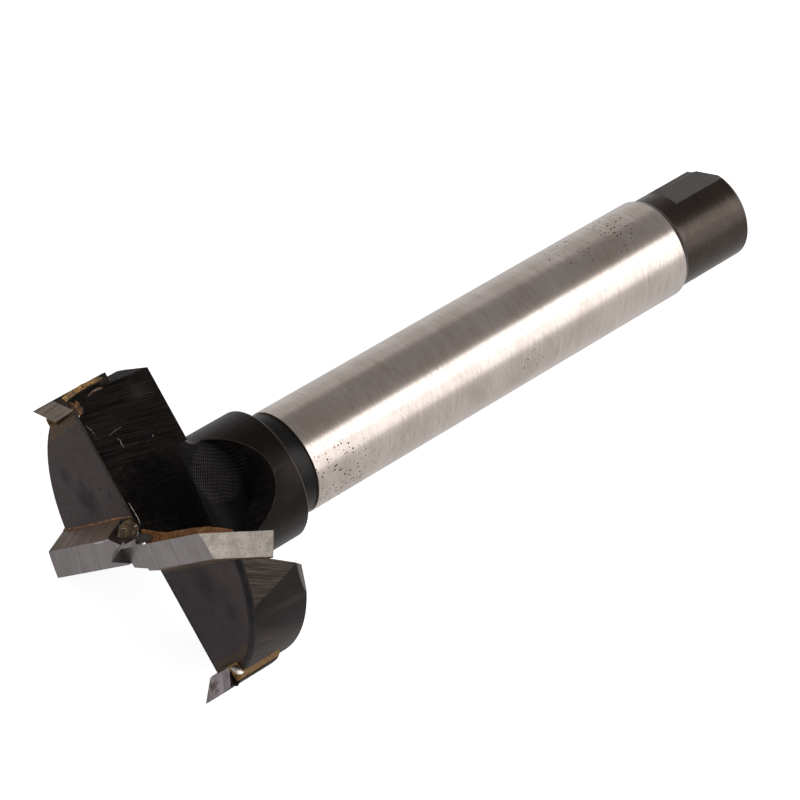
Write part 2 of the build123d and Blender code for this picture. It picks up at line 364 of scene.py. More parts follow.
class Effects:
    """The effects that several finishes share, each built once."""

    def __init__(self) -> None:
        """Builds every group."""
        self.place = self._place()
        self.lines = self._lines()
        self.pits = self._pits()
        self.spot = self._spot()
        self.clouds = self._clouds()
        self.scratches = self._scratches()

    def _place(self) -> bpy.types.NodeTree:
        """The place about the bit's axis in millimetres, with its turn and its height along the axis.

        Returns:
            The group.
        """
        outputs = {"Place": Socket.VECTOR, "Turn": Socket.FLOAT, "Along": Socket.FLOAT}
        graph = EffectGraph("bit_place", {}, outputs)
        origin = tuple(value * MM for value in BIT.origin)
        away = graph.vector("SUBTRACT", graph.node("TexCoord").outputs["Object"], origin).outputs[0]
        parts = [graph.dot(away, axis / MM) for axis in BIT.axes]
        graph.put("Place", graph.combined(*parts))
        graph.put("Turn", graph.math("DEGREES", graph.math("ARCTAN2", parts[1], parts[0])))
        graph.put("Along", parts[2])
        return graph.tree

    def _lines(self) -> bpy.types.NodeTree:
        """Tool marks: noise drawn out along X of the given place, as a fine and a coarse set added together.

        Returns:
            The group.
        """
        inputs = {"Place": NOWHERE, "Fineness": 6.0, "Stretch": 0.05}
        graph = EffectGraph("tool_marks", inputs, {"Lines": Socket.FLOAT})
        scale = graph.combined(graph.given["Stretch"], 1.0, 1.0)
        drawn = graph.vector("MULTIPLY", graph.given["Place"], scale).outputs[0]
        fine = graph.noise(drawn, graph.given["Fineness"], 2.0, 0.6)
        coarser = graph.math("MULTIPLY", graph.given["Fineness"], 0.31)
        coarse = graph.noise(drawn, coarser, 2.0, 0.5, 0.15)
        graph.put("Lines", graph.weighed((fine, 0.6), (coarse, 0.4)))
        return graph.tree

    def _pits(self) -> bpy.types.NodeTree:
        """Small round pits of many sizes, as strong as the given share of the surface around them.

        Returns:
            The group.
        """
        inputs = {"Place": NOWHERE, "Density": 3.0, "Size": 0.2, "Where": 1.0}
        graph = EffectGraph("pits", inputs, {"Mask": Socket.FLOAT})
        wires = {"Vector": graph.given["Place"], "Scale": graph.given["Density"]}
        cells = graph.node("TexVoronoi", wires, feature="F1")
        share = graph.node("SeparateColor", {0: cells.outputs["Color"]}).outputs[0]
        largest = graph.math("MULTIPLY", graph.given["Size"], share)
        size = graph.math("MULTIPLY", largest, graph.given["Where"])
        over = graph.math("SUBTRACT", size, cells.outputs["Distance"])
        graph.put("Mask", graph.fade(over, 0.0, 0.03))
        return graph.tree

    def _spot(self) -> bpy.types.NodeTree:
        """A round spot with an uneven edge: distance from its centre, shifted by noise, against its size.

        Returns:
            The group.
        """
        inputs = {"Place": NOWHERE, "Centre": NOWHERE, "Size": 1.0, "Ragged": 0.5, "Soft": 0.2}
        graph = EffectGraph("spot", inputs, {"Mask": Socket.FLOAT})
        away = graph.vector("DISTANCE", graph.given["Place"], graph.given["Centre"]).outputs["Value"]
        swing = graph.swing(graph.given["Ragged"], graph.given["Place"], 1.1, 4.0, 0.65, 0.5)
        within = graph.math("SUBTRACT", graph.given["Size"], graph.math("ADD", away, swing))
        graph.put("Mask", graph.fade(graph.math("DIVIDE", within, graph.given["Soft"]), 0.0, 1.0))
        return graph.tree

    def _clouds(self) -> bpy.types.NodeTree:
        """Broad uneven patches with a fine grain over them.

        Returns:
            The group.
        """
        inputs = {"Place": NOWHERE, "Size": 0.3, "Grain": 6.0}
        graph = EffectGraph("clouds", inputs, {"Clouds": Socket.FLOAT, "Grain": Socket.FLOAT})
        graph.put("Clouds", graph.noise(graph.given["Place"], graph.given["Size"], 4.0, 0.6, 0.4))
        graph.put("Grain", graph.noise(graph.given["Place"], graph.given["Grain"], 3.0, 0.7))
        return graph.tree

    def _scratches(self) -> bpy.types.NodeTree:
        """Short thin scratches: the edges of bent cells, kept in places by a noise.

        Returns:
            The group.
        """
        inputs = {"Place": NOWHERE, "Density": 0.35, "Cover": 0.62}
        graph = EffectGraph("scratches", inputs, {"Mask": Socket.FLOAT})
        bent = graph.noise(graph.given["Place"], 0.8, 2.0)
        moved = graph.vector("ADD", graph.given["Place"], graph.combined(bent, bent, bent)).outputs[0]
        wires = {"Vector": moved, "Scale": graph.given["Density"]}
        cells = graph.node("TexVoronoi", wires, feature="DISTANCE_TO_EDGE")
        thin = graph.fade(cells.outputs["Distance"], 0.0, 0.012, 1.0, 0.0)
        broad = graph.noise(graph.given["Place"], 0.55, 3.0, 0.6)
        kept = graph.math("GREATER_THAN", broad, graph.given["Cover"])
        graph.put("Mask", graph.math("MULTIPLY", thin, kept))
        return graph.tree


def colour(red: float, green: float, blue: float) -> Colour:
    """A linear colour from one written as in a paint program, 0 to 255: each part to the power 2.2."""
    return tuple((part / 255.0) ** 2.2 for part in (red, green, blue)) + (1.0,)


@dataclass(frozen=True)
class TintSpot:
    """A tinted spot on a finish: a stain on most finishes, painted shade or a painted highlight on the
    gullet. It holds where it is, how far it reaches in millimetres, its colour and strength.
    """

    centre: Place
    size: float
    tint: Colour
    strength: float = 0.8
    ragged: float = 1.2
    soft: float = 0.35


@dataclass(frozen=True)
class Finish:
    """What every finish has: a name and the effects it draws on."""

    name: str
    effects: Effects = field(repr=False)

    def material(self) -> bpy.types.Material:
        """Builds the material.

        Returns:
            The material.
        """
        made = bpy.data.materials.new(self.name)
        made.use_nodes = True
        made.node_tree.nodes.clear()
        graph = Graph(made.node_tree)
        shader = graph.node("BsdfPrincipled")
        graph.node("OutputMaterial", {0: shader.outputs[0]})
        self.dress(graph, shader)
        return made

    def dress(self, graph: Graph, shader: bpy.types.Node) -> None:
        """Joins the finish's colours and relief to the shader; each finish has its own.

        Args:
            graph: the material's nodes.
            shader: its Principled shader.
        """
        raise NotImplementedError

    def place(self, graph: Graph) -> bpy.types.NodeSocket:
        """The place on the bit in millimetres."""
        return graph.effect(self.effects.place).outputs["Place"]

    def clouds(self, graph: Graph, place: Any, size: float, grain: float) -> list[bpy.types.NodeSocket]:
        """Broad patches and a fine grain, of the scales given."""
        wires = {"Place": place, "Size": size, "Grain": grain}
        return list(graph.effect(self.effects.clouds, wires).outputs)

    def drawn_marks(self, graph: Graph, place: Any, along: Place, across: Place, fineness: float,
                    stretch: float) -> bpy.types.NodeSocket:
        """Tool marks that run one way and repeat the other: a value about a half.

        Args:
            graph: the material's nodes.
            place: the place on the bit.
            along: the direction in which the marks run.
            across: the direction in which they repeat.
            fineness: how many there are.
            stretch: how short they are.

        Returns:
            The marks' value.
        """
        drawn = graph.combined(graph.dot(place, along), graph.dot(place, across))
        wires = {"Place": drawn, "Fineness": fineness, "Stretch": stretch}
        return graph.effect(self.effects.lines, wires).outputs[0]

    def pitted(self, graph: Graph, place: Any, density: float, size: float,
               where: Any) -> bpy.types.NodeSocket:
        """A mask of round pits of a density and a size, in the places given."""
        wires = {"Place": place, "Density": density, "Size": size, "Where": where}
        return graph.effect(self.effects.pits, wires).outputs[0]

    def spotted(self, graph: Graph, place: Any, centre: Place, size: float, ragged: float,
                soft: float) -> bpy.types.NodeSocket:
        """A mask of one uneven spot."""
        wires = {"Place": place, "Centre": centre, "Size": size, "Ragged": ragged, "Soft": soft}
        return graph.effect(self.effects.spot, wires).outputs[0]

    def stained(self, graph: Graph, place: Any, stain: TintSpot) -> bpy.types.NodeSocket:
        """A mask of one stain, before its strength."""
        return self.spotted(graph, place, stain.centre, stain.size, stain.ragged, stain.soft)

    def relief(self, graph: Graph, shader: bpy.types.Node, height: Any, depth: float) -> None:
        """Gives the shader bumps from a height between 0 and 1 that stands for a depth in millimetres."""
        bump = graph.node("Bump", {"Height": height, "Distance": depth * MM, "Strength": 1.0})
        graph.tree.links.new(bump.outputs[0], shader.inputs["Normal"])


@dataclass(frozen=True)
class GroundShank(Finish):
    """Bright centreless-ground steel with slanting grinding marks and clusters of brown pits.

    marks holds the slope and the fineness of the two sets of grinding rings, and clusters the centre and
    the size of each patch of pits.
    """

    light: Colour = colour(208, 198, 192)
    dull: Colour = colour(180, 168, 160)
    pit: Colour = colour(92, 74, 58)
    marks: tuple[tuple[float, float], ...] = ((0.22, 6.5), (-0.55, 4.0))
    pit_density: float = 2.7
    pit_size: float = 0.36
    rough_dull: float = 0.25
    rough_light: float = 0.21
    depth: float = 0.002
    clusters: tuple[tuple[float, float, float, float], ...] = (
        (5.2, -3.0, -50.0, 5.5),
        (5.4, -2.6, -42.5, 4.5),
        (-2.8, -5.3, -3.5, 7.0),
        (-2.6, -5.4, -31.0, 3.0),
        (5.0, 3.3, -22.0, 3.5),
        (-5.4, 2.4, -38.0, 5.0),
    )

    def dress(self, graph: Graph, shader: bpy.types.Node) -> None:
        """Two crossing sets of fine rings, a slow mottling and pits inside the clusters.

        Args:
            graph: the material's nodes.
            shader: its Principled shader.
        """
        place = self.place(graph)
        across, other, along = graph.node("SeparateXYZ", {0: place}).outputs
        sets = []
        for slope, fineness in self.marks:
            ring = graph.math("ADD", along, graph.math("MULTIPLY", across, slope))
            drawn = graph.combined(across, ring, graph.math("MULTIPLY", other, 0.06))
            wires = {"Place": drawn, "Fineness": fineness, "Stretch": 0.07}
            sets.append(graph.effect(self.effects.lines, wires).outputs[0])
        rings = graph.weighed((sets[0], 0.65), (sets[1], 0.35))
        clouds, _ = self.clouds(graph, place, 0.16, 5.0)
        near: Any = 0.12
        for *centre, size in self.clusters:
            patch = self.spotted(graph, place, tuple(centre), size, 5.0, size * 0.6)
            near = graph.math("MAXIMUM", near, patch)
        pits = self.pitted(graph, place, self.pit_density, self.pit_size, near)
        tone = graph.weighed((rings, 0.7), (clouds, 0.4))
        base = graph.mix(graph.fade(tone, 0.38, 0.72), self.dull, self.light)
        graph.feed(shader.inputs["Base Color"], graph.mix(pits, base, self.pit))
        shader.inputs["Metallic"].default_value = 1.0
        worn = graph.fade(tone, 0.3, 0.8, self.rough_dull, self.rough_light)
        graph.feed(shader.inputs["Roughness"], graph.math("ADD", worn, graph.math("MULTIPLY", pits, 0.4)))
        sunk = graph.math("SUBTRACT", rings, graph.math("MULTIPLY", pits, 1.2))
        self.relief(graph, shader, sunk, self.depth)


@dataclass(frozen=True)
class BlackSteel(Finish):
    """Blackened steel as a cutter or lathe tool left it.

    along and across are the directions on the bit in which its tool marks run and repeat, fineness is
    how many there are, and marks is how strongly they show.
    """

    tone: Colour = colour(52, 50, 49)
    light: Colour = colour(84, 80, 78)
    rust: Colour = colour(96, 74, 54)
    speck: Colour = colour(16, 15, 15)
    scratch: Colour = colour(150, 140, 130)
    along: Place = AXIS
    across: Place = ALONG_X
    fineness: float = 5.0
    stretch: float = 0.05
    marks: float = 0.5
    depth: float = 0.01
    rough: float = 0.4
    metal: float = 0.7
    gloss: float = 0.5
    cloudy: float = 0.35
    specks: float = 0.3
    speck_density: float = 3.4
    speck_size: float = 0.32
    scratched: float = 0.0
    rusty: float = 0.0
    stains: tuple[TintSpot, ...] = ()

    def worked(self, graph: Graph, place: Any, lines: Any, clouds: Any) -> bpy.types.NodeSocket:
        """The steel's own colour before specks, scratches, rust and tinted spots.

        Args:
            graph: the material's nodes.
            place: the place on the bit.
            lines: the tool marks' value.
            clouds: the broad patches' value.

        Returns:
            The colour.
        """
        drawn = graph.fade(lines, 0.36, 0.66, 0.0, self.marks)
        tone = graph.math("ADD", drawn, graph.fade(clouds, 0.35, 0.7, 0.0, self.cloudy))
        return graph.mix(graph.math("MINIMUM", tone, 1.0), self.tone, self.light)

    def dress(self, graph: Graph, shader: bpy.types.Node) -> None:
        """Dark cloudy steel with tool marks, specks, scratches, rust and tinted spots: stains on most
        finishes, painted shade and a painted highlight on the gullet.

        Args:
            graph: the material's nodes.
            shader: its Principled shader.
        """
        place = self.place(graph)
        lines = self.drawn_marks(graph, place, self.along, self.across, self.fineness, self.stretch)
        clouds, grain = self.clouds(graph, place, 0.32, 7.0)
        base = self.worked(graph, place, lines, clouds)
        where = graph.fade(clouds, 0.35, 0.65)
        specks = self.pitted(graph, place, self.speck_density, self.speck_size, where)
        base = graph.mix(graph.math("MULTIPLY", specks, self.specks), base, self.speck)
        if self.scratched > 0.0:
            scratches = graph.effect(self.effects.scratches, {"Place": place}).outputs[0]
            base = graph.mix(graph.math("MULTIPLY", scratches, self.scratched), base, self.scratch)
        if self.rusty > 0.0:
            rust = graph.fade(graph.noise(place, 0.7, 4.0, 0.7), 0.56, 0.74, 0.0, self.rusty)
            base = graph.mix(rust, base, self.rust)
        matt: Any = 0.0
        # Tinted spots: stains, except on the gullet, where they are painted shade and a painted highlight.
        for stain in self.stains:
            grainy = graph.fade(grain, 0.3, 0.6, 0.45 * stain.strength, stain.strength)
            mask = graph.math("MULTIPLY", self.stained(graph, place, stain), grainy)
            base = graph.mix(mask, base, stain.tint)
            matt = graph.math("MAXIMUM", matt, mask)
        graph.feed(shader.inputs["Base Color"], base)
        rough = graph.math("ADD", self.rough, graph.fade(grain, 0.3, 0.7, -0.05, 0.07))
        graph.feed(shader.inputs["Roughness"], graph.math("ADD", rough, graph.math("MULTIPLY", matt, 0.12)))
        shader.inputs["Metallic"].default_value = self.metal
        shader.inputs["Specular IOR Level"].default_value = self.gloss
        height = graph.weighed((lines, 0.8), (grain, 0.2), (specks, -0.5))
        self.relief(graph, shader, height, self.depth)


@dataclass(frozen=True)
class FrontSteel(BlackSteel):
    """The wings' front: smooth ground steel, chipped black along the edges of both gullets.

    gullet_reach is how far the gullet's edge lies out from the axis, chipped how wide the black border
    is, border the reach past which it never goes, and flux_reach where the brown beside the spurs starts.
    """

    gullet_turn: float = FACE_TURN
    gullet_reach: float = 0.19
    chipped: float = 0.34
    ragged: float = 3.0
    border: float = 0.8
    black: Colour = colour(9, 8, 8)
    spur_turn: float = SPUR_TURN
    flux_reach: float = 14.35
    flux_ragged: float = 2.4
    flux: Colour = colour(104, 80, 58)
    dark_flux: Colour = colour(62, 48, 38)

    def fluxed(self, graph: Graph, place: Any, base: Any) -> bpy.types.NodeSocket:
        """Adds the brown flux beside the spurs: how far out a place lies towards a spur, shifted by noise.

        Args:
            graph: the material's nodes.
            place: the place on the bit.
            base: the colour so far.

        Returns:
            The colour with the flux.
        """
        out = graph.math("ABSOLUTE", graph.dot(place, on_turn(self.spur_turn)))
        shifted = graph.math("ADD", out, graph.swing(self.flux_ragged, place, 0.9, 3.0, 0.6))
        mask = graph.fade(shifted, self.flux_reach, self.flux_reach + 0.2)
        grain = graph.fade(graph.noise(place, 7.0, 4.0, 0.75), 0.38, 0.62)
        return graph.mix(mask, base, graph.mix(grain, self.dark_flux, self.flux))

    def worked(self, graph: Graph, place: Any, lines: Any, clouds: Any) -> bpy.types.NodeSocket:
        """Adds the chipped border: how far a place is inside the nearer gullet's edge, shifted by noise.

        Args:
            graph: the material's nodes.
            place: the place on the bit.
            lines: the tool marks' value.
            clouds: the broad patches' value.

        Returns:
            The colour.
        """
        base = self.fluxed(graph, place, super().worked(graph, place, lines, clouds))
        out = graph.dot(place, on_turn(self.gullet_turn))
        inside = graph.math("SUBTRACT", self.gullet_reach, out)
        other = graph.math("ADD", self.gullet_reach, out)
        along = graph.dot(place, on_turn(self.gullet_turn + RIGHT_ANGLE))
        first = graph.math("GREATER_THAN", along, 0.0)
        change = graph.math("MULTIPLY", first, graph.math("SUBTRACT", inside, other))
        nearer = graph.math("ADD", change, other)
        shifted = graph.math("ADD", nearer, graph.swing(self.ragged, place, 2.2, 5.0, 0.75))
        chips = graph.fade(shifted, self.chipped, self.chipped + 0.08, 1.0, 0.0)
        near = graph.fade(nearer, self.border, self.border + 0.3, 1.0, 0.0)
        return graph.mix(graph.math("MULTIPLY", chips, near), base, self.black)


@dataclass(frozen=True)
class RibbedSteel(BlackSteel):
    """The pocket's surface: black, with fine ribs that two cutter passes left crosswise; the ribs show light
    only inside a round patch, a painted reflection.
    """

    # centre and size place the round patch of painted reflection on the ribs.
    centre: Place = (3.5, -2.7, 9.1)
    size: float = 3.5
    lit_rib: Colour = colour(72, 67, 68)
    first_across: Place = (0.1, 0.25, 0.96)
    second_across: Place = (0.86, 0.0, 0.5)
    pitches: tuple[float, float] = (0.27, 0.38)
    wander: float = 2.4

    def worked(self, graph: Graph, place: Any, lines: Any, clouds: Any) -> bpy.types.NodeSocket:
        """Ribs are the sine of the distance across them over their pitch, the two sets multiplied.

        Args:
            graph: the material's nodes.
            place: the place on the bit.
            lines: the tool marks' value.
            clouds: the broad patches' value.

        Returns:
            The colour.
        """
        base = super().worked(graph, place, lines, clouds)
        swing = graph.math("MULTIPLY", graph.noise(place, 0.35, 1.0), self.wander)
        waved = []
        for across, pitch in zip((self.first_across, self.second_across), self.pitches):
            run = graph.math("ADD", graph.dot(place, across), graph.math("MULTIPLY", swing, pitch))
            wave = graph.math("SINE", graph.math("MULTIPLY", run, 2.0 * np.pi / pitch))
            waved.append(graph.fade(wave, -0.5, 1.0))
        fainter = graph.math("ADD", graph.math("MULTIPLY", waved[1], 0.75), 0.25)
        ribs = graph.math("MULTIPLY", waved[0], fainter)
        # The ribs are real cutter marks; the round patch where they are lighter is a painted reflection.
        patch = self.spotted(graph, place, self.centre, self.size, 1.2, 0.6)
        return graph.mix(graph.math("MULTIPLY", patch, ribs), base, self.lit_rib)


@dataclass(frozen=True)
class RimSteel(BlackSteel):
    """The rim: smooth turned steel with a brushed corner towards the plate and another towards the spur.

    Each corner is told by the turn where it ends at height 0, and by how many degrees that moves for
    each millimetre of height.
    """

    brushed: Colour = colour(98, 87, 80)
    dark_brushed: Colour = colour(54, 47, 43)
    plate_corner: tuple[float, float] = (86.6, 1.18)
    spur_corner: tuple[float, float] = (14.9, 1.9)
    corner_ragged: float = 1.6
    second_along: Place = AXIS
    second_across: Place = ALONG_X

    def worked(self, graph: Graph, place: Any, lines: Any, clouds: Any) -> bpy.types.NodeSocket:
        """Each corner lies past a slanting line: the turn plus or minus a slope times the height.

        Args:
            graph: the material's nodes.
            place: the place on the bit.
            lines: the tool marks' value.
            clouds: the broad patches' value.

        Returns:
            The colour.
        """
        spot = graph.effect(self.effects.place)
        along = spot.outputs["Along"]
        wrapped = graph.math("MODULO", graph.math("ADD", spot.outputs["Turn"], 360.0), HALF_TURN)
        turn = graph.math("ADD", wrapped, graph.swing(self.corner_ragged, place, 2.0, 4.0, 0.7))
        limit, slope = self.plate_corner
        rising = graph.math("ADD", turn, graph.math("MULTIPLY", along, slope))
        first = graph.fade(rising, limit, limit + 0.8)
        limit, slope = self.spur_corner
        falling = graph.math("SUBTRACT", turn, graph.math("MULTIPLY", along, slope))
        last = graph.fade(falling, limit, limit + 9.0, 0.85, 0.0)
        slanted = self.drawn_marks(graph, place, self.second_along, self.second_across, self.fineness,
                                   self.stretch)
        smooth = graph.mix(graph.fade(clouds, 0.3, 0.7, 0.0, 0.6), self.tone, self.light)
        bright = graph.mix(graph.fade(lines, 0.4, 0.64), self.dark_brushed, self.brushed)
        dim = graph.mix(graph.fade(slanted, 0.4, 0.66, 0.0, 0.75), self.dark_brushed, self.brushed)
        return graph.mix(first, graph.mix(last, smooth, dim), bright)


@dataclass(frozen=True)
class Carbide(Finish):
    """Ground carbide: grey with a faint lilac cast and fine parallel grinding lines."""

    tone: Colour = colour(122, 114, 115)
    light: Colour = colour(168, 160, 162)
    brown: Colour = colour(92, 74, 58)
    along: Place = AXIS
    across: Place = ALONG_X
    fineness: float = 5.0
    stretch: float = 0.04
    rough: float = 0.34
    metal: float = 0.75
    gloss: float = 0.5
    mottled: float = 0.0
    depth: float = 0.005
    stains: tuple[TintSpot, ...] = ()

    def dress(self, graph: Graph, shader: bpy.types.Node) -> None:
        """Fine lines over a slow cloud of tone, with brown mottling and stains where they are asked for.

        Args:
            graph: the material's nodes.
            shader: its Principled shader.
        """
        place = self.place(graph)
        lines = self.drawn_marks(graph, place, self.along, self.across, self.fineness, self.stretch)
        clouds, _ = self.clouds(graph, place, 0.4, 9.0)
        slow = graph.fade(clouds, 0.3, 0.7, 0.0, 0.35)
        tone = graph.math("ADD", graph.fade(lines, 0.34, 0.68, 0.0, 0.7), slow)
        base = graph.mix(graph.math("MINIMUM", tone, 1.0), self.tone, self.light)
        if self.mottled > 0.0:
            patch = graph.fade(graph.noise(place, 0.9, 4.0, 0.65), 0.48, 0.66, 0.0, self.mottled)
            base = graph.mix(patch, base, self.brown)
        for stain in self.stains:
            mask = graph.math("MULTIPLY", self.stained(graph, place, stain), stain.strength)
            base = graph.mix(mask, base, stain.tint)
        graph.feed(shader.inputs["Base Color"], base)
        shader.inputs["Metallic"].default_value = self.metal
        shader.inputs["Specular IOR Level"].default_value = self.gloss
        worn = graph.fade(lines, 0.3, 0.7, self.rough + 0.06, self.rough - 0.04)
        graph.feed(shader.inputs["Roughness"], worn)
        self.relief(graph, shader, lines, self.depth)


@dataclass(frozen=True)
class SinteredCarbide(Finish):
    """Carbide as it came from the furnace: pale, beige and grainy."""

    tone: Colour = colour(146, 137, 126)
    light: Colour = colour(206, 197, 186)
    speck: Colour = colour(104, 92, 82)
    metal: float = 0.2
    rough_low: float = 0.55
    rough_high: float = 0.66
    depth: float = 0.02

    def dress(self, graph: Graph, shader: bpy.types.Node) -> None:
        """Coarse and fine grain with a few darker specks.

        Args:
            graph: the material's nodes.
            shader: its Principled shader.
        """
        place = self.place(graph)
        clouds, grain = self.clouds(graph, place, 0.8, 8.0)
        tone = graph.weighed((clouds, 0.5), (grain, 0.6))
        base = graph.mix(graph.fade(tone, 0.36, 0.74), self.tone, self.light)
        specks = self.pitted(graph, place, 2.6, 0.35, graph.fade(clouds, 0.4, 0.6))
        base = graph.mix(graph.math("MULTIPLY", specks, 0.6), base, self.speck)
        graph.feed(shader.inputs["Base Color"], base)
        shader.inputs["Metallic"].default_value = self.metal
        graph.feed(shader.inputs["Roughness"], graph.fade(grain, 0.3, 0.7, self.rough_low, self.rough_high))
        self.relief(graph, shader, tone, self.depth)


@dataclass(frozen=True)
class Braze(Finish):
    """Brazing brass: gold where it is clean, brown where flux and heat have stained it."""

    gold: Colour = colour(158, 128, 86)
    brown: Colour = colour(82, 64, 48)
    pit: Colour = colour(36, 28, 22)
    clean: float = 0.5
    metal: float = 0.75
    rough: float = 0.42
    fineness: float = 0.9
    depth: float = 0.04

    def dress(self, graph: Graph, shader: bpy.types.Node) -> None:
        """Gold and brown mixed by a grainy cloud, with dark pits; the cleaner it is, the more is gold.

        Args:
            graph: the material's nodes.
            shader: its Principled shader.
        """
        place = self.place(graph)
        clouds, grain = self.clouds(graph, place, self.fineness, 4.5)
        tone = graph.weighed((clouds, 0.55), (grain, 0.45))
        middle = 0.72 - 0.4 * self.clean
        bright = graph.fade(tone, middle - 0.08, middle + 0.08)
        pits = self.pitted(graph, place, 3.0, 0.4, graph.fade(clouds, 0.42, 0.6))
        base = graph.mix(pits, graph.mix(bright, self.brown, self.gold), self.pit)
        graph.feed(shader.inputs["Base Color"], base)
        graph.feed(shader.inputs["Metallic"], graph.math("MULTIPLY", bright, self.metal))
        graph.feed(shader.inputs["Roughness"], graph.fade(tone, 0.3, 0.7, self.rough + 0.2, self.rough))
        self.relief(graph, shader, graph.math("SUBTRACT", tone, pits), self.depth)


def shaded(mesh: bpy.types.Mesh, crease: float) -> None:
    """Shades a mesh smooth, but sharp where faces meet at more than the crease angle in degrees."""
    mesh.shade_smooth()
    mesh.set_sharp_from_angle(angle=radians(crease))


def placed(name: str, mesh: bpy.types.Mesh, nodes: Iterable[str] = ()) -> bpy.types.Object:
    """Puts a finished mesh into the scene as a piece of the bit.

    Args:
        name: the piece's name.
        mesh: its mesh, already in the row frame in metres.
        nodes: the CAD nodes that it stands for.

    Returns:
        The piece.
    """
    piece = bpy.data.objects.new(name, mesh)
    bpy.context.scene.collection.objects.link(piece)
    for node in nodes:
        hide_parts(node)
    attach(piece, "root")
    LOG.info("%s: %d faces", name, len(mesh.polygons))
    return piece


def grid_faces(rows: int, columns: int) -> np.ndarray:
    """Corner numbers of the quads of a grid that is closed round its columns.

    Args:
        rows: how many rows of points.
        columns: how many points in a row.

    Returns:
        Four numbers for each quad.
    """
    row, column = np.meshgrid(np.arange(rows - 1), np.arange(columns), indexing="ij")
    here = row * columns
    beside = (column + 1) % columns
    quads = np.stack([here + column, here + beside, here + columns + beside, here + columns + column], -1)
    return quads.reshape(-1, 4)


def tube_mesh(name: str, rings: np.ndarray) -> bpy.types.Mesh:
    """A closed surface from rings of points, with one middle point closing each end.

    Args:
        name: the mesh's name.
        rings: points of shape rows, columns, 3, in millimetres on the bit, the rings running
            counterclockwise when seen from the last one.

    Returns:
        The mesh in the row frame.
    """
    rows, columns, _ = rings.shape
    ends = np.stack([rings[0].mean(0), rings[-1].mean(0)])
    points = BIT.to_row(np.concatenate([rings.reshape(-1, 3), ends]))
    column = np.arange(columns)
    beside = (column + 1) % columns
    first_middle = np.full(columns, rows * columns)
    last_ring = (rows - 1) * columns
    first = np.stack([beside, column, first_middle], -1)
    last = np.stack([last_ring + column, last_ring + beside, first_middle + 1], -1)
    mesh = bpy.data.meshes.new(name)
    faces = grid_faces(rows, columns).tolist() + first.tolist() + last.tolist()
    mesh.from_pydata(points.tolist(), [], faces)
    mesh.update()
    return mesh


def merged_copy(node: str) -> bmesh.types.BMesh:
    """A copy of a CAD node's mesh with its loose triangles merged and its flat faces made whole.

    Args:
        node: the node's name.

    Returns:
        The working mesh, which the caller frees.
    """
    work = bmesh.new()
    work.from_mesh(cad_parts[node].data)
    bmesh.ops.remove_doubles(work, verts=work.verts, dist=1e-7)
    bmesh.ops.dissolve_limit(work, angle_limit=radians(0.4), verts=work.verts, edges=work.edges)
    return work


def finished_mesh(work: bmesh.types.BMesh, name: str) -> bpy.types.Mesh:
    """Turns the working mesh into a real one, marks its sharp outer edges for rounding and frees it.

    Args:
        work: the working mesh.
        name: the real mesh's name.

    Returns:
        The mesh, with a bevel weight of 1 on each sharp outer edge.
    """
    work.edges.ensure_lookup_table()
    sharp = radians(CREASE)
    weights = [float(edge.is_manifold and edge.is_convex and edge.calc_face_angle(0.0) > sharp)
               for edge in work.edges]
    mesh = bpy.data.meshes.new(name)
    work.to_mesh(mesh)
    work.free()
    layer = mesh.attributes.new("bevel_weight_edge", "FLOAT", "EDGE")
    layer.data.foreach_set("value", weights)
    return mesh


def face_planes(mesh: bpy.types.Mesh) -> tuple[np.ndarray, np.ndarray]:
    """Each face's middle and outward normal about the bit's axis.

    Args:
        mesh: a mesh in the row frame.

    Returns:
        The middles in millimetres and the normals, one a row.
    """
    middles = np.empty(len(mesh.polygons) * 3)
    normals = np.empty_like(middles)
    mesh.polygons.foreach_get("center", middles)
    mesh.polygons.foreach_get("normal", normals)
    return BIT.from_row(middles.reshape(-1, 3)), normals.reshape(-1, 3) @ BIT.axes.T


def eased(piece: bpy.types.Object, width: float, material: int = -1) -> None:
    """Breaks the piece's marked edges with a narrow rounding, in a finish of its own if one is given.

    Args:
        piece: the piece.
        width: the rounding's width in millimetres.
        material: the number of the rounding's finish on the piece, or -1 for the finish beside it.
    """
    edge = piece.modifiers.new("edges", "BEVEL")
    edge.width = width * MM
    edge.segments = 2
    edge.limit_method = "WEIGHT"
    edge.use_clamp_overlap = False
    edge.harden_normals = True
    edge.material = material


def dressed(mesh: bpy.types.Mesh, finishes: Iterable[Finish], faces: np.ndarray) -> None:
    """Gives a mesh its finishes and each face the number of its own.

    Args:
        mesh: the mesh.
        finishes: its finishes in order.
        faces: a finish's number for each face.
    """
    for finish in finishes:
        mesh.materials.append(finish.material())
    mesh.polygons.foreach_set("material_index", faces.astype(np.int32))


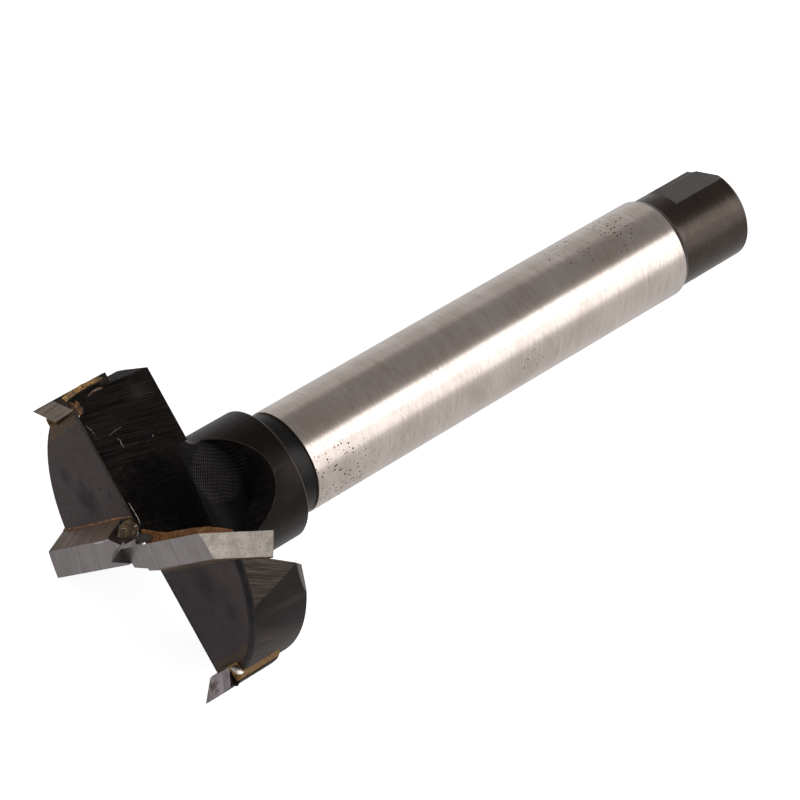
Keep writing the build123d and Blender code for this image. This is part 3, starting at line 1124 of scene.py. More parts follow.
@dataclass
class Shank:
    """The bright shank and the blackened tail with its flat, turned in one."""

    effects: Effects
    tail_radius: float = 5.59
    tail_end: float = -66.3
    tail_chamfer: float = 0.45
    shank_radius: float = 5.995
    shank_rear: float = -56.0
    shoulder: float = 0.7
    shoulder_ease: float = 0.06
    shoulder_drop: float = 0.02
    front_break: float = 0.05
    spigot_radius: float = 5.7
    spigot_end: float = 0.6
    flat_distance: float = 4.8
    flat_turn: float = -11.6
    flat_end: float = -58.4
    flat_step: float = 0.001
    columns: int = 192

    def profile(self) -> np.ndarray:
        """The outline from the tail's end to the front of the shank: a radius and a height for each corner.

        Returns:
            The pairs, one a row.
        """
        corners = [
            (self.tail_radius - self.tail_chamfer, self.tail_end),
            (self.tail_radius, self.tail_end + self.tail_chamfer),
            (self.tail_radius, self.flat_end - self.flat_step),
            (self.tail_radius, self.flat_end),
            (self.tail_radius, self.shank_rear),
            (self.tail_radius + self.shoulder_ease, self.shank_rear),
            (self.shank_radius - self.shoulder_drop, self.shank_rear + self.shoulder - self.shoulder_ease),
            (self.shank_radius, self.shank_rear + self.shoulder + self.shoulder_ease),
            (self.shank_radius, -self.front_break),
            (self.shank_radius - self.front_break, 0.0),
            (self.spigot_radius, 0.0),
            (self.spigot_radius, self.spigot_end),
        ]
        return np.array(corners)

    def rings(self) -> np.ndarray:
        """Each ring is the profile's radius, cut short at the flat to its distance over the cosine.

        Returns:
            Points of shape corners, columns, 3. The flat's two edges have columns of their own.
        """
        turns = np.linspace(0.0, 2.0 * np.pi, self.columns, endpoint=False)
        reach = np.degrees(np.arccos(self.flat_distance / self.tail_radius))
        edges = np.radians([self.flat_turn - reach, self.flat_turn + reach])
        turns = np.sort(np.concatenate([turns, edges % (2.0 * np.pi)]))
        profile = self.profile()
        radius, height = profile[:, :1], profile[:, 1:]
        facing = np.cos(turns - radians(self.flat_turn))
        limit = np.where(facing > 0.1, self.flat_distance / np.maximum(facing, 0.1), np.inf)
        on_flat = height <= self.flat_end - 0.5 * self.flat_step
        radius = np.where(on_flat, np.minimum(radius, limit), radius)
        height = np.broadcast_to(height, radius.shape)
        return np.stack([radius * np.cos(turns), radius * np.sin(turns), height], -1)

    def build(self) -> bpy.types.Object:
        """Builds the turned piece and dresses the shank bright and the tail black.

        Returns:
            The piece.
        """
        mesh = tube_mesh("shank", self.rings())
        beside_flat = tuple(on_turn(self.flat_turn + RIGHT_ANGLE))
        finishes = [
            GroundShank("ground_steel", self.effects),
            BlackSteel("black_tail", self.effects, tone=colour(66, 59, 55), light=colour(84, 76, 71),
                       along=ALONG_X, across=AXIS, fineness=4.0, marks=0.3, depth=0.004, rough=0.3,
                       metal=0.9, scratched=0.1),
            BlackSteel("black_flat", self.effects, tone=colour(58, 52, 49), light=colour(82, 74, 69),
                       along=beside_flat, across=AXIS, fineness=3.0, marks=0.5, depth=0.008, rough=0.4,
                       metal=0.8, rusty=0.25),
        ]
        middles, normals = face_planes(mesh)
        black = middles[:, 2] < self.shank_rear + 0.5 * self.shoulder
        flat = black & (normals @ on_turn(self.flat_turn) > 0.9999) & (middles[:, 2] < self.flat_end)
        dressed(mesh, finishes, black.astype(np.int32) + flat)
        shaded(mesh, CREASE)
        return placed("shank", mesh, ["body"])


@dataclass
class Head:
    """The collar and the two-wing head, from the CAD body forward of the bright shank.

    same_way, much_the_same, facing_up and level are the cosines by which a face's zone is told, and
    milled, brushed and slanted are directions of tool marks in the gullets and on the rim.
    """

    effects: Effects
    cut_height: float = 0.02
    head_radius: float = HEAD_RADIUS
    front_fillet: float = 0.57
    rear: float = 11.1
    front: float = FRONT
    collar_radius: float = 7.5
    neck_radius: float = 5.8
    neck_length: float = 2.6
    face: tuple[float, float] = (FACE_TURN, FACE_LEAN)
    wall: tuple[float, float] = (WALL_TURN, -33.0)
    pocket: tuple[float, float] = (-80.0, -12.0)
    facet: tuple[float, float] = (70.9, -30.3)
    rim_ground: tuple[float, float] = (3.0, 0.0)
    rim_ground_depth: float = 1.3
    same_way: float = 0.999
    much_the_same: float = 0.995
    facing_up: float = 0.97
    level: float = 0.05
    milled: Place = (-0.107, -0.566, -0.817)
    brushed: Place = (-0.525, 0.108, -0.845)
    slanted: Place = (-0.33, 0.3, -0.9)
    edge_width: float = 0.06

    def turned_finishes(self) -> dict[Zone, Finish]:
        """The finishes that the lathe left: collar, neck, rear and the bands along the rim.

        Returns:
            A finish for each of these zones.
        """
        effects = self.effects
        ring = {"along": ALONG_X, "across": AXIS}
        nick = TintSpot((-11.07, -12.9, 11.27), 0.35, colour(20, 18, 18), 1.0, 0.3, 0.1)
        return {
            Zone.COLLAR: BlackSteel(
                "collar_steel", effects, tone=colour(34, 30, 28), light=colour(46, 41, 39), **ring,
                fineness=6.0, marks=0.25, depth=0.003, rough=0.42, metal=0.85, scratched=0.12),
            Zone.NECK: BlackSteel(
                "neck_steel", effects, tone=colour(26, 25, 25), light=colour(44, 42, 41), **ring,
                fineness=5.0, marks=0.4, depth=0.008),
            Zone.REAR: BlackSteel(
                "rear_steel", effects, tone=colour(58, 55, 53), light=colour(76, 72, 69), along=ALONG_X,
                across=(0.0, 1.0, 0.0), marks=0.2, depth=0.004, rusty=0.15),
            Zone.REAR_BAND: BlackSteel(
                "rear_facet_steel", effects, tone=colour(96, 89, 88), light=colour(118, 110, 109),
                marks=0.4, depth=0.003, rough=0.36, stains=(nick,)),
            Zone.FRONT_BAND: BlackSteel(
                "band_steel", effects, tone=colour(24, 21, 22), light=colour(48, 43, 45), along=AXIS,
                across=tuple(on_turn(-30.0)), marks=0.9, fineness=1.3, stretch=0.1, depth=0.006, rough=0.5,
                metal=0.3, gloss=0.3),
        }

    def front_stains(self) -> tuple[TintSpot, ...]:
        """Soft dark heat stains on both wings' fronts, and a brown one beside the centre.

        Returns:
            The stains.
        """
        stains = []
        for number in (1, 2):
            for (x, y), size, tint, strength, ragged, soft in (
                ((4.6, 8.6), 2.8, colour(26, 24, 25), 0.75, 3.4, 2.2),
                ((7.4, 11.5), 1.6, colour(36, 33, 34), 0.7, 2.4, 1.4),
                ((5.4, 3.4), 1.2, colour(30, 28, 29), 0.6, 2.4, 1.4),
                ((2.3, 3.6), 0.9, colour(98, 80, 62), 0.8, 1.4, 0.6),
            ):
                stains.append(TintSpot(on_half(number, (x, y, self.front)), size, tint, strength, ragged, soft))
        stains.append(TintSpot((-8.0, -6.5, self.front), 8.5, colour(30, 24, 26), 0.4, 2.0, 3.0))
        return tuple(stains)

    def cut_finishes(self) -> dict[Zone, Finish]:
        """The finishes that milling and grinding left: front, rim, gullets, pockets and seats.

        Returns:
            A finish for each of these zones.
        """
        effects = self.effects
        face = leaning(*self.face)
        milled = np.array(self.milled)
        milled -= face * (milled @ face)
        milled /= np.linalg.norm(milled)
        pocket = leaning(*self.pocket)
        side = on_turn(self.pocket[0] + RIGHT_ANGLE)
        rise = np.cross(pocket, side)
        ribs = {"first_across": tuple(0.587 * side + 0.81 * rise),
                "second_across": tuple(0.432 * rise - 0.902 * side)}
        brushed, slanted = np.array(self.brushed), np.array(self.slanted)
        black, painted_shade_black = colour(13, 12, 12), colour(3, 3, 3)
        # Painted light on the gullet face: a soft lighter spot near the rim is a painted highlight, and two
        # broad near-black spots nearer the axis are painted shade.
        painted_light_spots = (
            TintSpot((14.6, -0.4, 12.8), 1.6, colour(92, 85, 80), 0.35, 2.5, 1.4),
            TintSpot((4.4, -1.4, 15.0), 6.2, painted_shade_black, 0.95, 5.0, 4.0),
            TintSpot((0.4, -4.4, 11.6), 6.0, painted_shade_black, 1.0, 3.0, 2.5),
        )
        return {
            Zone.FRONT: FrontSteel(
                "front_steel", effects, tone=colour(62, 51, 53), light=colour(80, 67, 70),
                along=tuple(on_turn(20.0)), across=tuple(on_turn(110.0)), marks=0.22, depth=0.003,
                rough=0.42, gloss=0.15, cloudy=0.5, specks=0.9, speck_density=2.8, speck_size=0.42,
                rusty=0.06, stains=self.front_stains()),
            Zone.RIM: RimSteel(
                "rim_steel", effects, tone=colour(40, 36, 35), light=colour(48, 43, 42),
                along=tuple(brushed), across=tuple(np.cross(brushed, on_turn(250.0))), fineness=15.0,
                stretch=0.02, gloss=0.3, second_along=tuple(slanted),
                second_across=tuple(np.cross(slanted, on_turn(215.0))), depth=0.004, metal=0.5, rough=0.54),
            Zone.GULLET: BlackSteel(
                "gullet_steel", effects, tone=black, light=colour(60, 54, 52), along=tuple(milled),
                across=tuple(np.cross(face, milled)), fineness=16.0, stretch=0.02, marks=0.7, depth=0.02,
                rough=0.68, metal=0.1, gloss=0.1, cloudy=0.15, scratched=0.35, rusty=0.05, stains=painted_light_spots),
            Zone.POCKET: RibbedSteel(
                "pocket_steel", effects, tone=black, light=colour(46, 42, 41), along=tuple(pocket),
                across=tuple(rise), fineness=7.0, marks=0.6, depth=0.03, rough=0.62, metal=0.1, gloss=0.15,
                **ribs),
            Zone.POCKET_FLOOR: RibbedSteel(
                "pocket_floor_steel", effects, tone=black, light=colour(34, 31, 30), along=tuple(milled),
                across=tuple(np.cross(pocket, milled)), fineness=5.0, stretch=0.04, marks=0.6, depth=0.02,
                rough=0.62, metal=0.1, gloss=0.15, **ribs),
            Zone.SEAT: BlackSteel(
                "seat_steel", effects, tone=colour(38, 34, 31), light=colour(64, 56, 50), marks=0.3,
                depth=0.02, rough=0.6, rusty=0.7),
        }

    def zones(self, mesh: bpy.types.Mesh) -> np.ndarray:
        """Tells each face's zone from its normal and its place; later tests win.

        Args:
            mesh: the head's mesh.

        Returns:
            The zone's number for each face.
        """
        middles, normals = face_planes(mesh)
        order = list(Zone)
        reach = np.hypot(middles[:, 0], middles[:, 1])
        height, rise = middles[:, 2], normals[:, 2]
        outward = (normals[:, 0] * middles[:, 0] + normals[:, 1] * middles[:, 1]) / np.maximum(reach, 1e-6)
        zone = np.full(len(mesh.polygons), order.index(Zone.SEAT))

        def mark(kind: Zone, where: np.ndarray) -> None:
            """Gives a zone to the faces where the test holds."""
            zone[where] = order.index(kind)

        flats = np.zeros(len(zone), bool)
        in_hollow = (reach < self.head_radius - 1.0) & (height < self.front - 0.55) & (outward < 0.9)
        for number in (1, 2):
            face, wall, pocket, facet, ground = (
                normals @ np.array(on_half(number, leaning(*side)))
                for side in (self.face, self.wall, self.pocket, self.facet, self.rim_ground))
            mark(Zone.POCKET, (np.abs(pocket) < 0.06) & in_hollow)
            mark(Zone.POCKET_FLOOR, pocket > self.much_the_same)
            mark(Zone.GULLET, (face > self.same_way) | (wall > self.same_way))
            flats |= (ground > self.same_way) & (reach > self.head_radius - self.rim_ground_depth)
            mark(Zone.REAR_BAND, facet > self.much_the_same)
        beyond_collar = reach > self.collar_radius - 0.4
        on_collar = (outward > 0.9) & beyond_collar & (reach < self.collar_radius + 0.4)
        mark(Zone.COLLAR, on_collar & (height < self.rear))
        neckward = (rise < -0.02) & (outward > 0.1) & beyond_collar
        mark(Zone.COLLAR, neckward & (reach < self.collar_radius + 2.0) & (height > self.rear - 2.0))
        mark(Zone.COLLAR, (height < self.neck_length + 0.3) & (reach < self.collar_radius))
        mark(Zone.NECK, (height < self.neck_length + 0.01) & (reach < self.neck_radius + 0.2))
        mark(Zone.REAR, (rise < -0.9) & (np.abs(height - self.rear) < 0.05))
        rim = reach > self.head_radius - self.front_fillet - 0.1
        upright = rim & (rise < self.level) & (outward > 0.6) & (height > self.rear)
        mark(Zone.RIM, upright & (zone != order.index(Zone.REAR_BAND)))
        mark(Zone.GULLET, flats)
        rounded = rim & (rise > self.level) & (rise < self.facing_up) & (outward > 0.2)
        mark(Zone.FRONT_BAND, rounded & (height > self.front - self.front_fillet - 0.05))
        mark(Zone.FRONT, (rise > self.facing_up) & (height > self.front - 0.003))
        return zone

    def spare_edges(self, mesh: bpy.types.Mesh, zone: np.ndarray) -> None:
        """Leaves unrounded the edges inside the black hollows and inside the turned front.

        Args:
            mesh: the head's mesh.
            zone: the zone's number for each face.
        """
        order = list(Zone)
        totals = np.empty(len(mesh.polygons), np.int32)
        edges = np.empty(len(mesh.loops), np.int32)
        weights = np.empty(len(mesh.edges), np.float32)
        mesh.polygons.foreach_get("loop_total", totals)
        mesh.loops.foreach_get("edge_index", edges)
        layer = mesh.attributes["bevel_weight_edge"]
        layer.data.foreach_get("value", weights)
        for group in ((Zone.GULLET, Zone.POCKET, Zone.POCKET_FLOOR), (Zone.FRONT, Zone.FRONT_BAND, Zone.RIM)):
            inside = np.isin(np.repeat(zone, totals), [order.index(kind) for kind in group])
            faces_inside = np.bincount(edges, weights=inside, minlength=len(weights))
            weights[faces_inside > 1.5] = 0.0
        layer.data.foreach_set("value", weights)

    def build(self) -> bpy.types.Object:
        """Cuts the head off a copy of the body, caps it and dresses each face by its zone.

        Returns:
            The piece.
        """
        work = merged_copy("body")
        parts = work.verts[:] + work.edges[:] + work.faces[:]
        cut = bmesh.ops.bisect_plane(work, geom=parts, plane_co=BIT.spot((0.0, 0.0, self.cut_height)),
                                     plane_no=BIT.direction(AXIS), clear_inner=True)
        rim = [part for part in cut["geom_cut"] if isinstance(part, bmesh.types.BMEdge)]
        bmesh.ops.edgenet_fill(work, edges=rim)
        mesh = finished_mesh(work, "head")
        worn = BlackSteel("worn_edge", self.effects, tone=colour(46, 42, 39), light=colour(120, 104, 90),
                          marks=0.5, fineness=1.2, stretch=0.6, depth=0.006, rough=0.4, rusty=0.4)
        finishes = self.turned_finishes() | self.cut_finishes()
        zone = self.zones(mesh)
        dressed(mesh, [finishes[kind] for kind in Zone] + [worn], zone)
        self.spare_edges(mesh, zone)
        shaded(mesh, CREASE)
        piece = placed("head", mesh, ["body"])
        eased(piece, self.edge_width, len(Zone))
        return piece


@dataclass
class Cutter:
    """A carbide cutting plate in its seat; the second one carries the centre point."""

    effects: Effects
    number: int
    wall_turn: float = WALL_TURN
    rake: float = 24.8
    radius: float = 17.35
    front: float = FRONT
    point_reach: float = 1.5

    @property
    def turned(self) -> float:
        """How far round the bit this plate stands from the first one."""
        return HALF_TURN * (self.number - 1)

    def finishes(self) -> dict[Facet, Finish]:
        """Each facet's finish.

        Returns:
            A finish for each facet.
        """
        inward = on_turn(self.wall_turn + RIGHT_ANGLE + self.turned)
        ahead = on_turn(self.wall_turn + self.turned)
        slant = {"along": tuple(ahead * 0.96 - inward * 0.28), "across": tuple(ahead * 0.28 + inward * 0.96)}
        upright = {"along": AXIS, "across": tuple(inward)}
        level = {"along": tuple(inward), "across": AXIS}
        number, effects = self.number, self.effects
        disc = TintSpot((0.69, 2.9, 21.13), 1.15, colour(140, 133, 132), 0.7, 0.25, 0.1)
        opposite = 3 - number
        flux = (
            TintSpot(on_half(opposite, (1.35, 5.4, 20.5)), 2.6, colour(112, 90, 70), 0.8, 3.0, 1.6),
            TintSpot(on_half(opposite, (0.6, 10.4, 20.9)), 1.6, colour(100, 82, 68), 0.7, 2.6, 1.2),
        )
        return {
            Facet.GROUND: Carbide(
                f"ground_carbide_{number}", effects, tone=colour(132, 124, 125), light=colour(160, 153, 154),
                **slant, fineness=4.0, stains=(disc,) if number == 2 else ()),
            Facet.RAKE: Carbide(
                f"rake_carbide_{number}", effects, tone=colour(104, 98, 98), light=colour(150, 143, 143),
                **level, mottled=0.4),
            Facet.BACK: Carbide(
                f"back_carbide_{number}", effects, tone=colour(82, 64, 53), light=colour(136, 110, 94),
                **upright, fineness=3.0, rough=0.48, metal=0.5, mottled=0.5, stains=flux),
            Facet.HEEL: Carbide(
                f"heel_carbide_{number}", effects, tone=colour(58, 53, 50), light=colour(88, 80, 75),
                **upright, fineness=3.0, rough=0.5, metal=0.5, mottled=0.5),
            Facet.END: SinteredCarbide(f"sintered_carbide_{number}", effects),
            Facet.POINT: Carbide(
                f"point_carbide_{number}", effects, tone=colour(76, 71, 71), light=colour(110, 103, 103),
                **upright, fineness=4.0),
        }

    def facets(self, mesh: bpy.types.Mesh) -> np.ndarray:
        """Tells each face's facet from its normal and place; later tests win.

        Args:
            mesh: the plate's mesh.

        Returns:
            The facet's number for each face.
        """
        middles, normals = face_planes(mesh)
        order = list(Facet)
        rake = normals @ leaning(self.wall_turn + self.turned, -self.rake)
        reach = np.hypot(middles[:, 0], middles[:, 1])
        height, rise = middles[:, 2], normals[:, 2]
        facet = np.full(len(mesh.polygons), order.index(Facet.HEEL))
        facet[rake > 0.99] = order.index(Facet.RAKE)
        facet[rake < -0.99] = order.index(Facet.BACK)
        facet[(rise > 0.97) & (height > self.front + 1.0)] = order.index(Facet.GROUND)
        facet[(np.abs(rise) < 0.05) & (reach > self.radius - 0.2)] = order.index(Facet.END)
        pointed = (np.abs(rise) < 0.6) & (reach < self.point_reach) & (height > self.front + 2.0)
        facet[pointed] = order.index(Facet.POINT)
        return facet

    def build(self) -> bpy.types.Object:
        """Dresses a merged copy of the plate facet by facet.

        Returns:
            The piece.
        """
        name = f"plate_{self.number}"
        mesh = finished_mesh(merged_copy(f"cutter_{self.number}"), name)
        finishes = self.finishes()
        dressed(mesh, [finishes[facet] for facet in Facet], self.facets(mesh))
        shaded(mesh, CARBIDE_CREASE)
        piece = placed(name, mesh, [f"cutter_{self.number}"])
        eased(piece, GROUND_EDGE)
        return piece


@dataclass
class Spur:
    """A carbide scoring spur at the rim."""

    effects: Effects
    number: int
    middle_turn: float = SPUR_TURN
    bevel: tuple[float, float] = (163.1, 47.2)
    relief: tuple[float, float] = (-130.7, 41.4)

    def build(self) -> bpy.types.Object:
        """Dresses a merged copy of the spur: dark sides, a pale bevel and a browner relief.

        Returns:
            The piece.
        """
        number, effects = self.number, self.effects
        bevel = np.array(on_half(number, leaning(*self.bevel)))
        relief = np.array(on_half(number, leaning(*self.relief)))
        radial = np.array(on_half(number, on_turn(self.middle_turn)))
        brown = TintSpot(on_half(number, (15.3, 5.7, 20.7)), 1.0, colour(84, 68, 60), 0.75, 2.6, 0.8)
        line = TintSpot(on_half(number, (14.5, 7.3, 19.5)), 0.9, colour(112, 106, 108), 0.6, 2.0, 0.7)
        finishes = {
            Tooth.SIDE: Carbide(
                f"spur_side_{number}", effects, tone=colour(34, 27, 24), light=colour(56, 45, 39),
                along=AXIS, across=tuple(radial), rough=0.6, metal=0.1, gloss=0.2, mottled=0.3),
            Tooth.BEVEL: Carbide(
                f"spur_bevel_{number}", effects, tone=colour(128, 120, 122), light=colour(186, 178, 182),
                along=tuple(radial), across=tuple(np.cross(bevel, radial)), fineness=3.5, rough=0.3,
                metal=0.9, stains=(brown, line)),
            Tooth.RELIEF: Carbide(
                f"spur_relief_{number}", effects, tone=colour(102, 90, 83), light=colour(138, 126, 118),
                along=tuple(np.cross(relief, radial)), across=tuple(radial), fineness=4.5),
        }
        name = f"tooth_{number}"
        mesh = finished_mesh(merged_copy(f"spur_{number}"), name)
        _, normals = face_planes(mesh)
        order = list(Tooth)
        tooth = np.full(len(mesh.polygons), order.index(Tooth.SIDE))
        tooth[normals @ bevel > 0.99] = order.index(Tooth.BEVEL)
        tooth[normals @ relief > 0.99] = order.index(Tooth.RELIEF)
        dressed(mesh, [finishes[kind] for kind in Tooth], tooth)
        shaded(mesh, CARBIDE_CREASE)
        piece = placed(name, mesh, [f"spur_{number}"])
        eased(piece, GROUND_EDGE)
        return piece


@dataclass
class BrazeFilm:
    """The brass in one joint, between a carbide piece and the steel.

    clean is how much of it is gold, and blackened_sides the turn and the lean of sides that aren't.
    """

    effects: Effects
    node: str
    clean: float
    blackened_sides: tuple[tuple[float, float], ...] = ()

    def build(self) -> bpy.types.Object:
        """Dresses a merged copy of the film.

        Returns:
            The piece.
        """
        mesh = finished_mesh(merged_copy(self.node), self.node.replace("braze", "brass"))
        finishes = [
            Braze(f"{self.node}_finish", self.effects, gold=colour(146, 112, 68), brown=colour(64, 48, 34),
                  clean=self.clean, fineness=1.7),
            Braze(f"{self.node}_blackened", self.effects, gold=colour(34, 30, 28), brown=colour(22, 20, 19),
                  clean=0.4, metal=0.1, rough=0.6, fineness=1.7),
        ]
        _, normals = face_planes(mesh)
        blackened = np.zeros(len(mesh.polygons), dtype=bool)
        for turn, lean in self.blackened_sides:
            blackened |= normals @ leaning(turn, lean) > 0.97
        dressed(mesh, finishes, blackened)
        shaded(mesh, CREASE)
        piece = placed(mesh.name, mesh, [self.node])
        eased(piece, GROUND_EDGE)
        return piece


@dataclass
class Bead:
    """A run of brass, a burr, a raised scratch or a painted glint along a path on a surface."""

    name: str
    path: Outline
    up: np.ndarray
    width: float
    height: float
    lumpy: float = 0.5
    sink: float = 0.04
    seed: int = 1
    step: float = 0.09
    columns: int = 14

    def rings(self) -> np.ndarray:
        """Half an ellipse drawn along the path: cosine across, sine upwards, fourth-power ends, waves on top.

        Returns:
            Points of shape stations, columns, 3.
        """
        path = np.array(self.path)
        length = np.linalg.norm(np.diff(path, axis=0), axis=1).sum()
        spine, stations = stations_along(path, max(10, int(length / self.step)), False)
        spine[1:-1] = (spine[:-2] + 2.0 * spine[1:-1] + spine[2:]) / 4.0
        side = np.cross(self.up, np.gradient(spine, axis=0))
        side /= np.linalg.norm(side, axis=1, keepdims=True)
        share = 2.0 * stations / stations[-1] - 1.0
        taper = np.sqrt(np.maximum(1.0 - share ** 4, 0.0)) + 0.02
        angle = np.linspace(0.0, 2.0 * np.pi, self.columns, endpoint=False)
        across = 0.5 * self.width * np.cos(angle)
        over = np.maximum(np.sin(angle), 0.0)
        under = np.minimum(np.sin(angle), 0.0)
        uneven = 1.0 + self.lumpy * waves(spine, self.seed, self.width * 3.0)[:, None]
        lift = self.height * over * uneven + self.sink * under
        wide = (across * uneven * taper[:, None])[..., None] * side[:, None, :]
        return spine[:, None, :] + wide + (lift * taper[:, None])[..., None] * self.up

    def build(self, finish: bpy.types.Material, slot: str = "brass") -> bpy.types.Object:
        """Builds the run in the given finish.

        Args:
            finish: its material.
            slot: not used.

        Returns:
            The piece.
        """
        mesh = tube_mesh(self.name, self.rings())
        mesh.materials.append(finish)
        shaded(mesh, 50.0)
        return placed(self.name, mesh)


@dataclass
class Puddle:
    """A lump of brass or flux, or a black sheet of painted shade, with a free outline, set on a plane.

    shares are the sizes of its rings against the outline; the first ring is sunk into the plane.
    """

    name: str
    outline: Outline
    up: np.ndarray
    height: float
    lumpy: float = 0.4
    ragged: float = 0.05
    sink: float = 0.05
    seed: int = 1
    columns: int = 96
    shares: tuple[float, ...] = (1.0, 1.0, 0.97, 0.9, 0.8, 0.66, 0.5, 0.32, 0.15)

    def rings(self) -> np.ndarray:
        """The outline shrunk step by step: each ring rises as the root of one minus its share squared.

        Returns:
            Points of shape rings, columns, 3.
        """
        corners = np.array(self.outline)
        rim, _ = stations_along(np.vstack([corners, corners[:1]]), self.columns, True)
        for _ in range(2):
            rim = (np.roll(rim, 1, 0) + 2.0 * rim + np.roll(rim, -1, 0)) / 4.0
        middle = rim.mean(0)
        spokes = rim - middle
        turning = np.cross(spokes, np.roll(spokes, -1, 0)).sum(0) @ self.up
        if turning < 0.0:
            spokes = spokes[::-1]
        spokes = spokes * (1.0 + self.ragged * waves(middle + spokes, self.seed, 0.8)[:, None])
        shares = np.array(self.shares)
        rings = middle + shares[:, None, None] * spokes
        rise = np.sqrt(1.0 - shares ** 2)[:, None] * (1.0 + self.lumpy * waves(rings, self.seed + 1, 1.1))
        lift = self.height * rise
        lift[0] = -self.sink
        return rings + lift[..., None] * self.up

    def build(self, finish: bpy.types.Material, slot: str = "brass") -> bpy.types.Object:
        """Builds the lump in the given finish.

        Args:
            finish: its material.
            slot: not used.

        Returns:
            The piece.
        """
        mesh = tube_mesh(self.name, self.rings())
        mesh.materials.append(finish)
        shaded(mesh, 60.0)
        return placed(self.name, mesh)


class Deposits:
    """The finishes of what brazing and milling left on the bit, of the painted glints and of the painted
    shade in gaps and in a hole, each built once.
    """

    def __init__(self, effects: Effects) -> None:
        """Builds every finish.

        Args:
            effects: the shared effects.
        """
        self.gold = Braze("clean_brass", effects, gold=colour(158, 120, 70), clean=0.55,
                          fineness=1.8).material()
        self.bronze = Braze("bronze_brass", effects, clean=0.45).material()
        self.brown = Braze("stained_brass", effects, gold=colour(196, 140, 90), brown=colour(128, 88, 54),
                           clean=0.5).material()
        self.pink = Braze("pink_brass", effects, gold=colour(164, 138, 118), brown=colour(92, 72, 60),
                          clean=0.6).material()
        # This silvery brass also makes the painted glints on the centre lump: a painted highlight.
        self.silver_and_glint = Braze("silvery_brass_and_glint", effects, gold=colour(214, 208, 204),
                            brown=colour(120, 112, 108), clean=0.9, metal=0.95, rough=0.25).material()
        self.clot = Braze("clot", effects, gold=colour(156, 112, 76), brown=colour(58, 40, 30), clean=0.45,
                          metal=0.4, rough=0.55, fineness=2.2).material()
        # Black sheets in this finish are painted shade in the spurs' gaps and in the centre lump's hole.
        self.flux = BlackSteel("gap_shade_black", effects, tone=colour(14, 12, 12), light=colour(40, 34, 30),
                               rough=0.7, metal=0.0, gloss=0.1).material()
        self.grey = BlackSteel("grey_flux", effects, tone=colour(66, 60, 57), light=colour(92, 84, 78),
                               marks=0.3, fineness=2.0, rough=0.45, metal=0.5).material()
        self.burr = BlackSteel("burr_steel", effects, tone=colour(104, 96, 90), light=colour(196, 186, 176),
                               marks=0.9, fineness=2.5, stretch=0.6, rough=0.35, metal=0.9).material()


@dataclass
class CentreBrass:
    """The lump at the centre with its hole, which a black sheet of painted shade fills, the dark gash over
    it, painted glints and the runs at the plates' feet.

    up and uphill are two directions square to each other, out of the lump and up along it.
    """

    deposits: Deposits
    front: float = FRONT
    up: tuple[float, float] = (330.0, 50.0)
    uphill: tuple[float, float] = (150.0, 40.0)
    lump: Outline = ((1.23, 2.37, 20.26), (2.17, 2.4, 19.59), (2.57, 2.24, 19.23), (2.69, 0.9, 18.58),
                     (2.13, 0.14, 18.67), (1.38, -0.4, 18.98), (1.16, 0.54, 19.54), (0.94, 2.11, 20.36))
    gash: Outline = ((1.04, 2.89, 20.61), (1.16, 2.17, 20.22), (1.27, 0.69, 19.52), (1.32, -0.54, 18.97),
                     (1.07, -1.84, 18.61), (0.72, -2.24, 18.69), (0.44, -1.86, 19.06), (0.45, -0.12, 19.78),
                     (0.57, 1.53, 20.38))
    gash_sink: float = 0.05
    hole: Place = (2.53, 2.12, 19.25)
    hole_radius: float = 0.2
    hole_lift: float = 0.1
    glints: Outline = ((1.89, 1.33, 19.34), (2.01, -0.14, 18.64), (1.38, -0.4, 18.98), (0.5, -1.04, 19.35))
    glint_length: float = 0.45
    glint_lift: float = 0.198
    foot: tuple[tuple[float, float], ...] = ((0.88, 16.5), (1.26, 12.9), (1.88, 8.7), (2.56, 4.4),
                                             (2.91, 1.0))
    heel: Outline = ((0.80, 6.6, 21.05), (1.1, 4.6, 21.04), (1.5, 2.7, 21.03))

    def hole_outline(self, up: np.ndarray) -> Outline:
        """The hole's outline: its radius times the cosine and the sine of the turn, along two directions.

        Args:
            up: the direction out of the lump.

        Returns:
            The outline.
        """
        middle = np.array(self.hole) + self.hole_lift * up
        aside, uphill = np.cross(up, AXIS), leaning(*self.uphill)
        return tuple(tuple(middle + self.hole_radius * (cos(turn) * aside + sin(turn) * uphill))
                     for turn in np.linspace(0.0, 5.5, 8))

    def build(self) -> None:
        """Places the pieces about the centre."""
        up, top, deposits = leaning(*self.up), np.array(AXIS), self.deposits
        Puddle("centre_lump", self.lump, up, 0.16, seed=3).build(deposits.bronze)
        # The hole is a black sheet of painted shade.
        Puddle("lump_hole", self.hole_outline(up), up, 0.05, seed=4).build(deposits.flux)
        gash = tuple(map(tuple, np.array(self.gash) - self.gash_sink * up))
        Puddle("centre_gash", gash, up, 0.05, seed=5).build(deposits.grey)
        # Painted glints: short beads in the bright silvery finish stand in for highlights on the lump.
        for count, place in enumerate(self.glints):
            start = np.array(place) + self.glint_lift * up
            end = start + self.glint_length * leaning(60.0 + 50.0 * count, 30.0)
            glint = Bead(f"glint_{count + 1}", (tuple(start), tuple(end)), up, 0.1, 0.05, seed=count)
            glint.build(deposits.silver_and_glint)
        foot = tuple((x, y, self.front) for x, y in self.foot)
        Bead("foot_run_2", foot, top, 0.28, 0.07, seed=6).build(deposits.brown)
        Bead("foot_run_1", outline_on(2, foot), top, 0.28, 0.07, seed=7).build(deposits.brown)
        Bead("heel_run", self.heel, leaning(20.0, 50.0), 0.12, 0.05, seed=8).build(deposits.silver_and_glint)


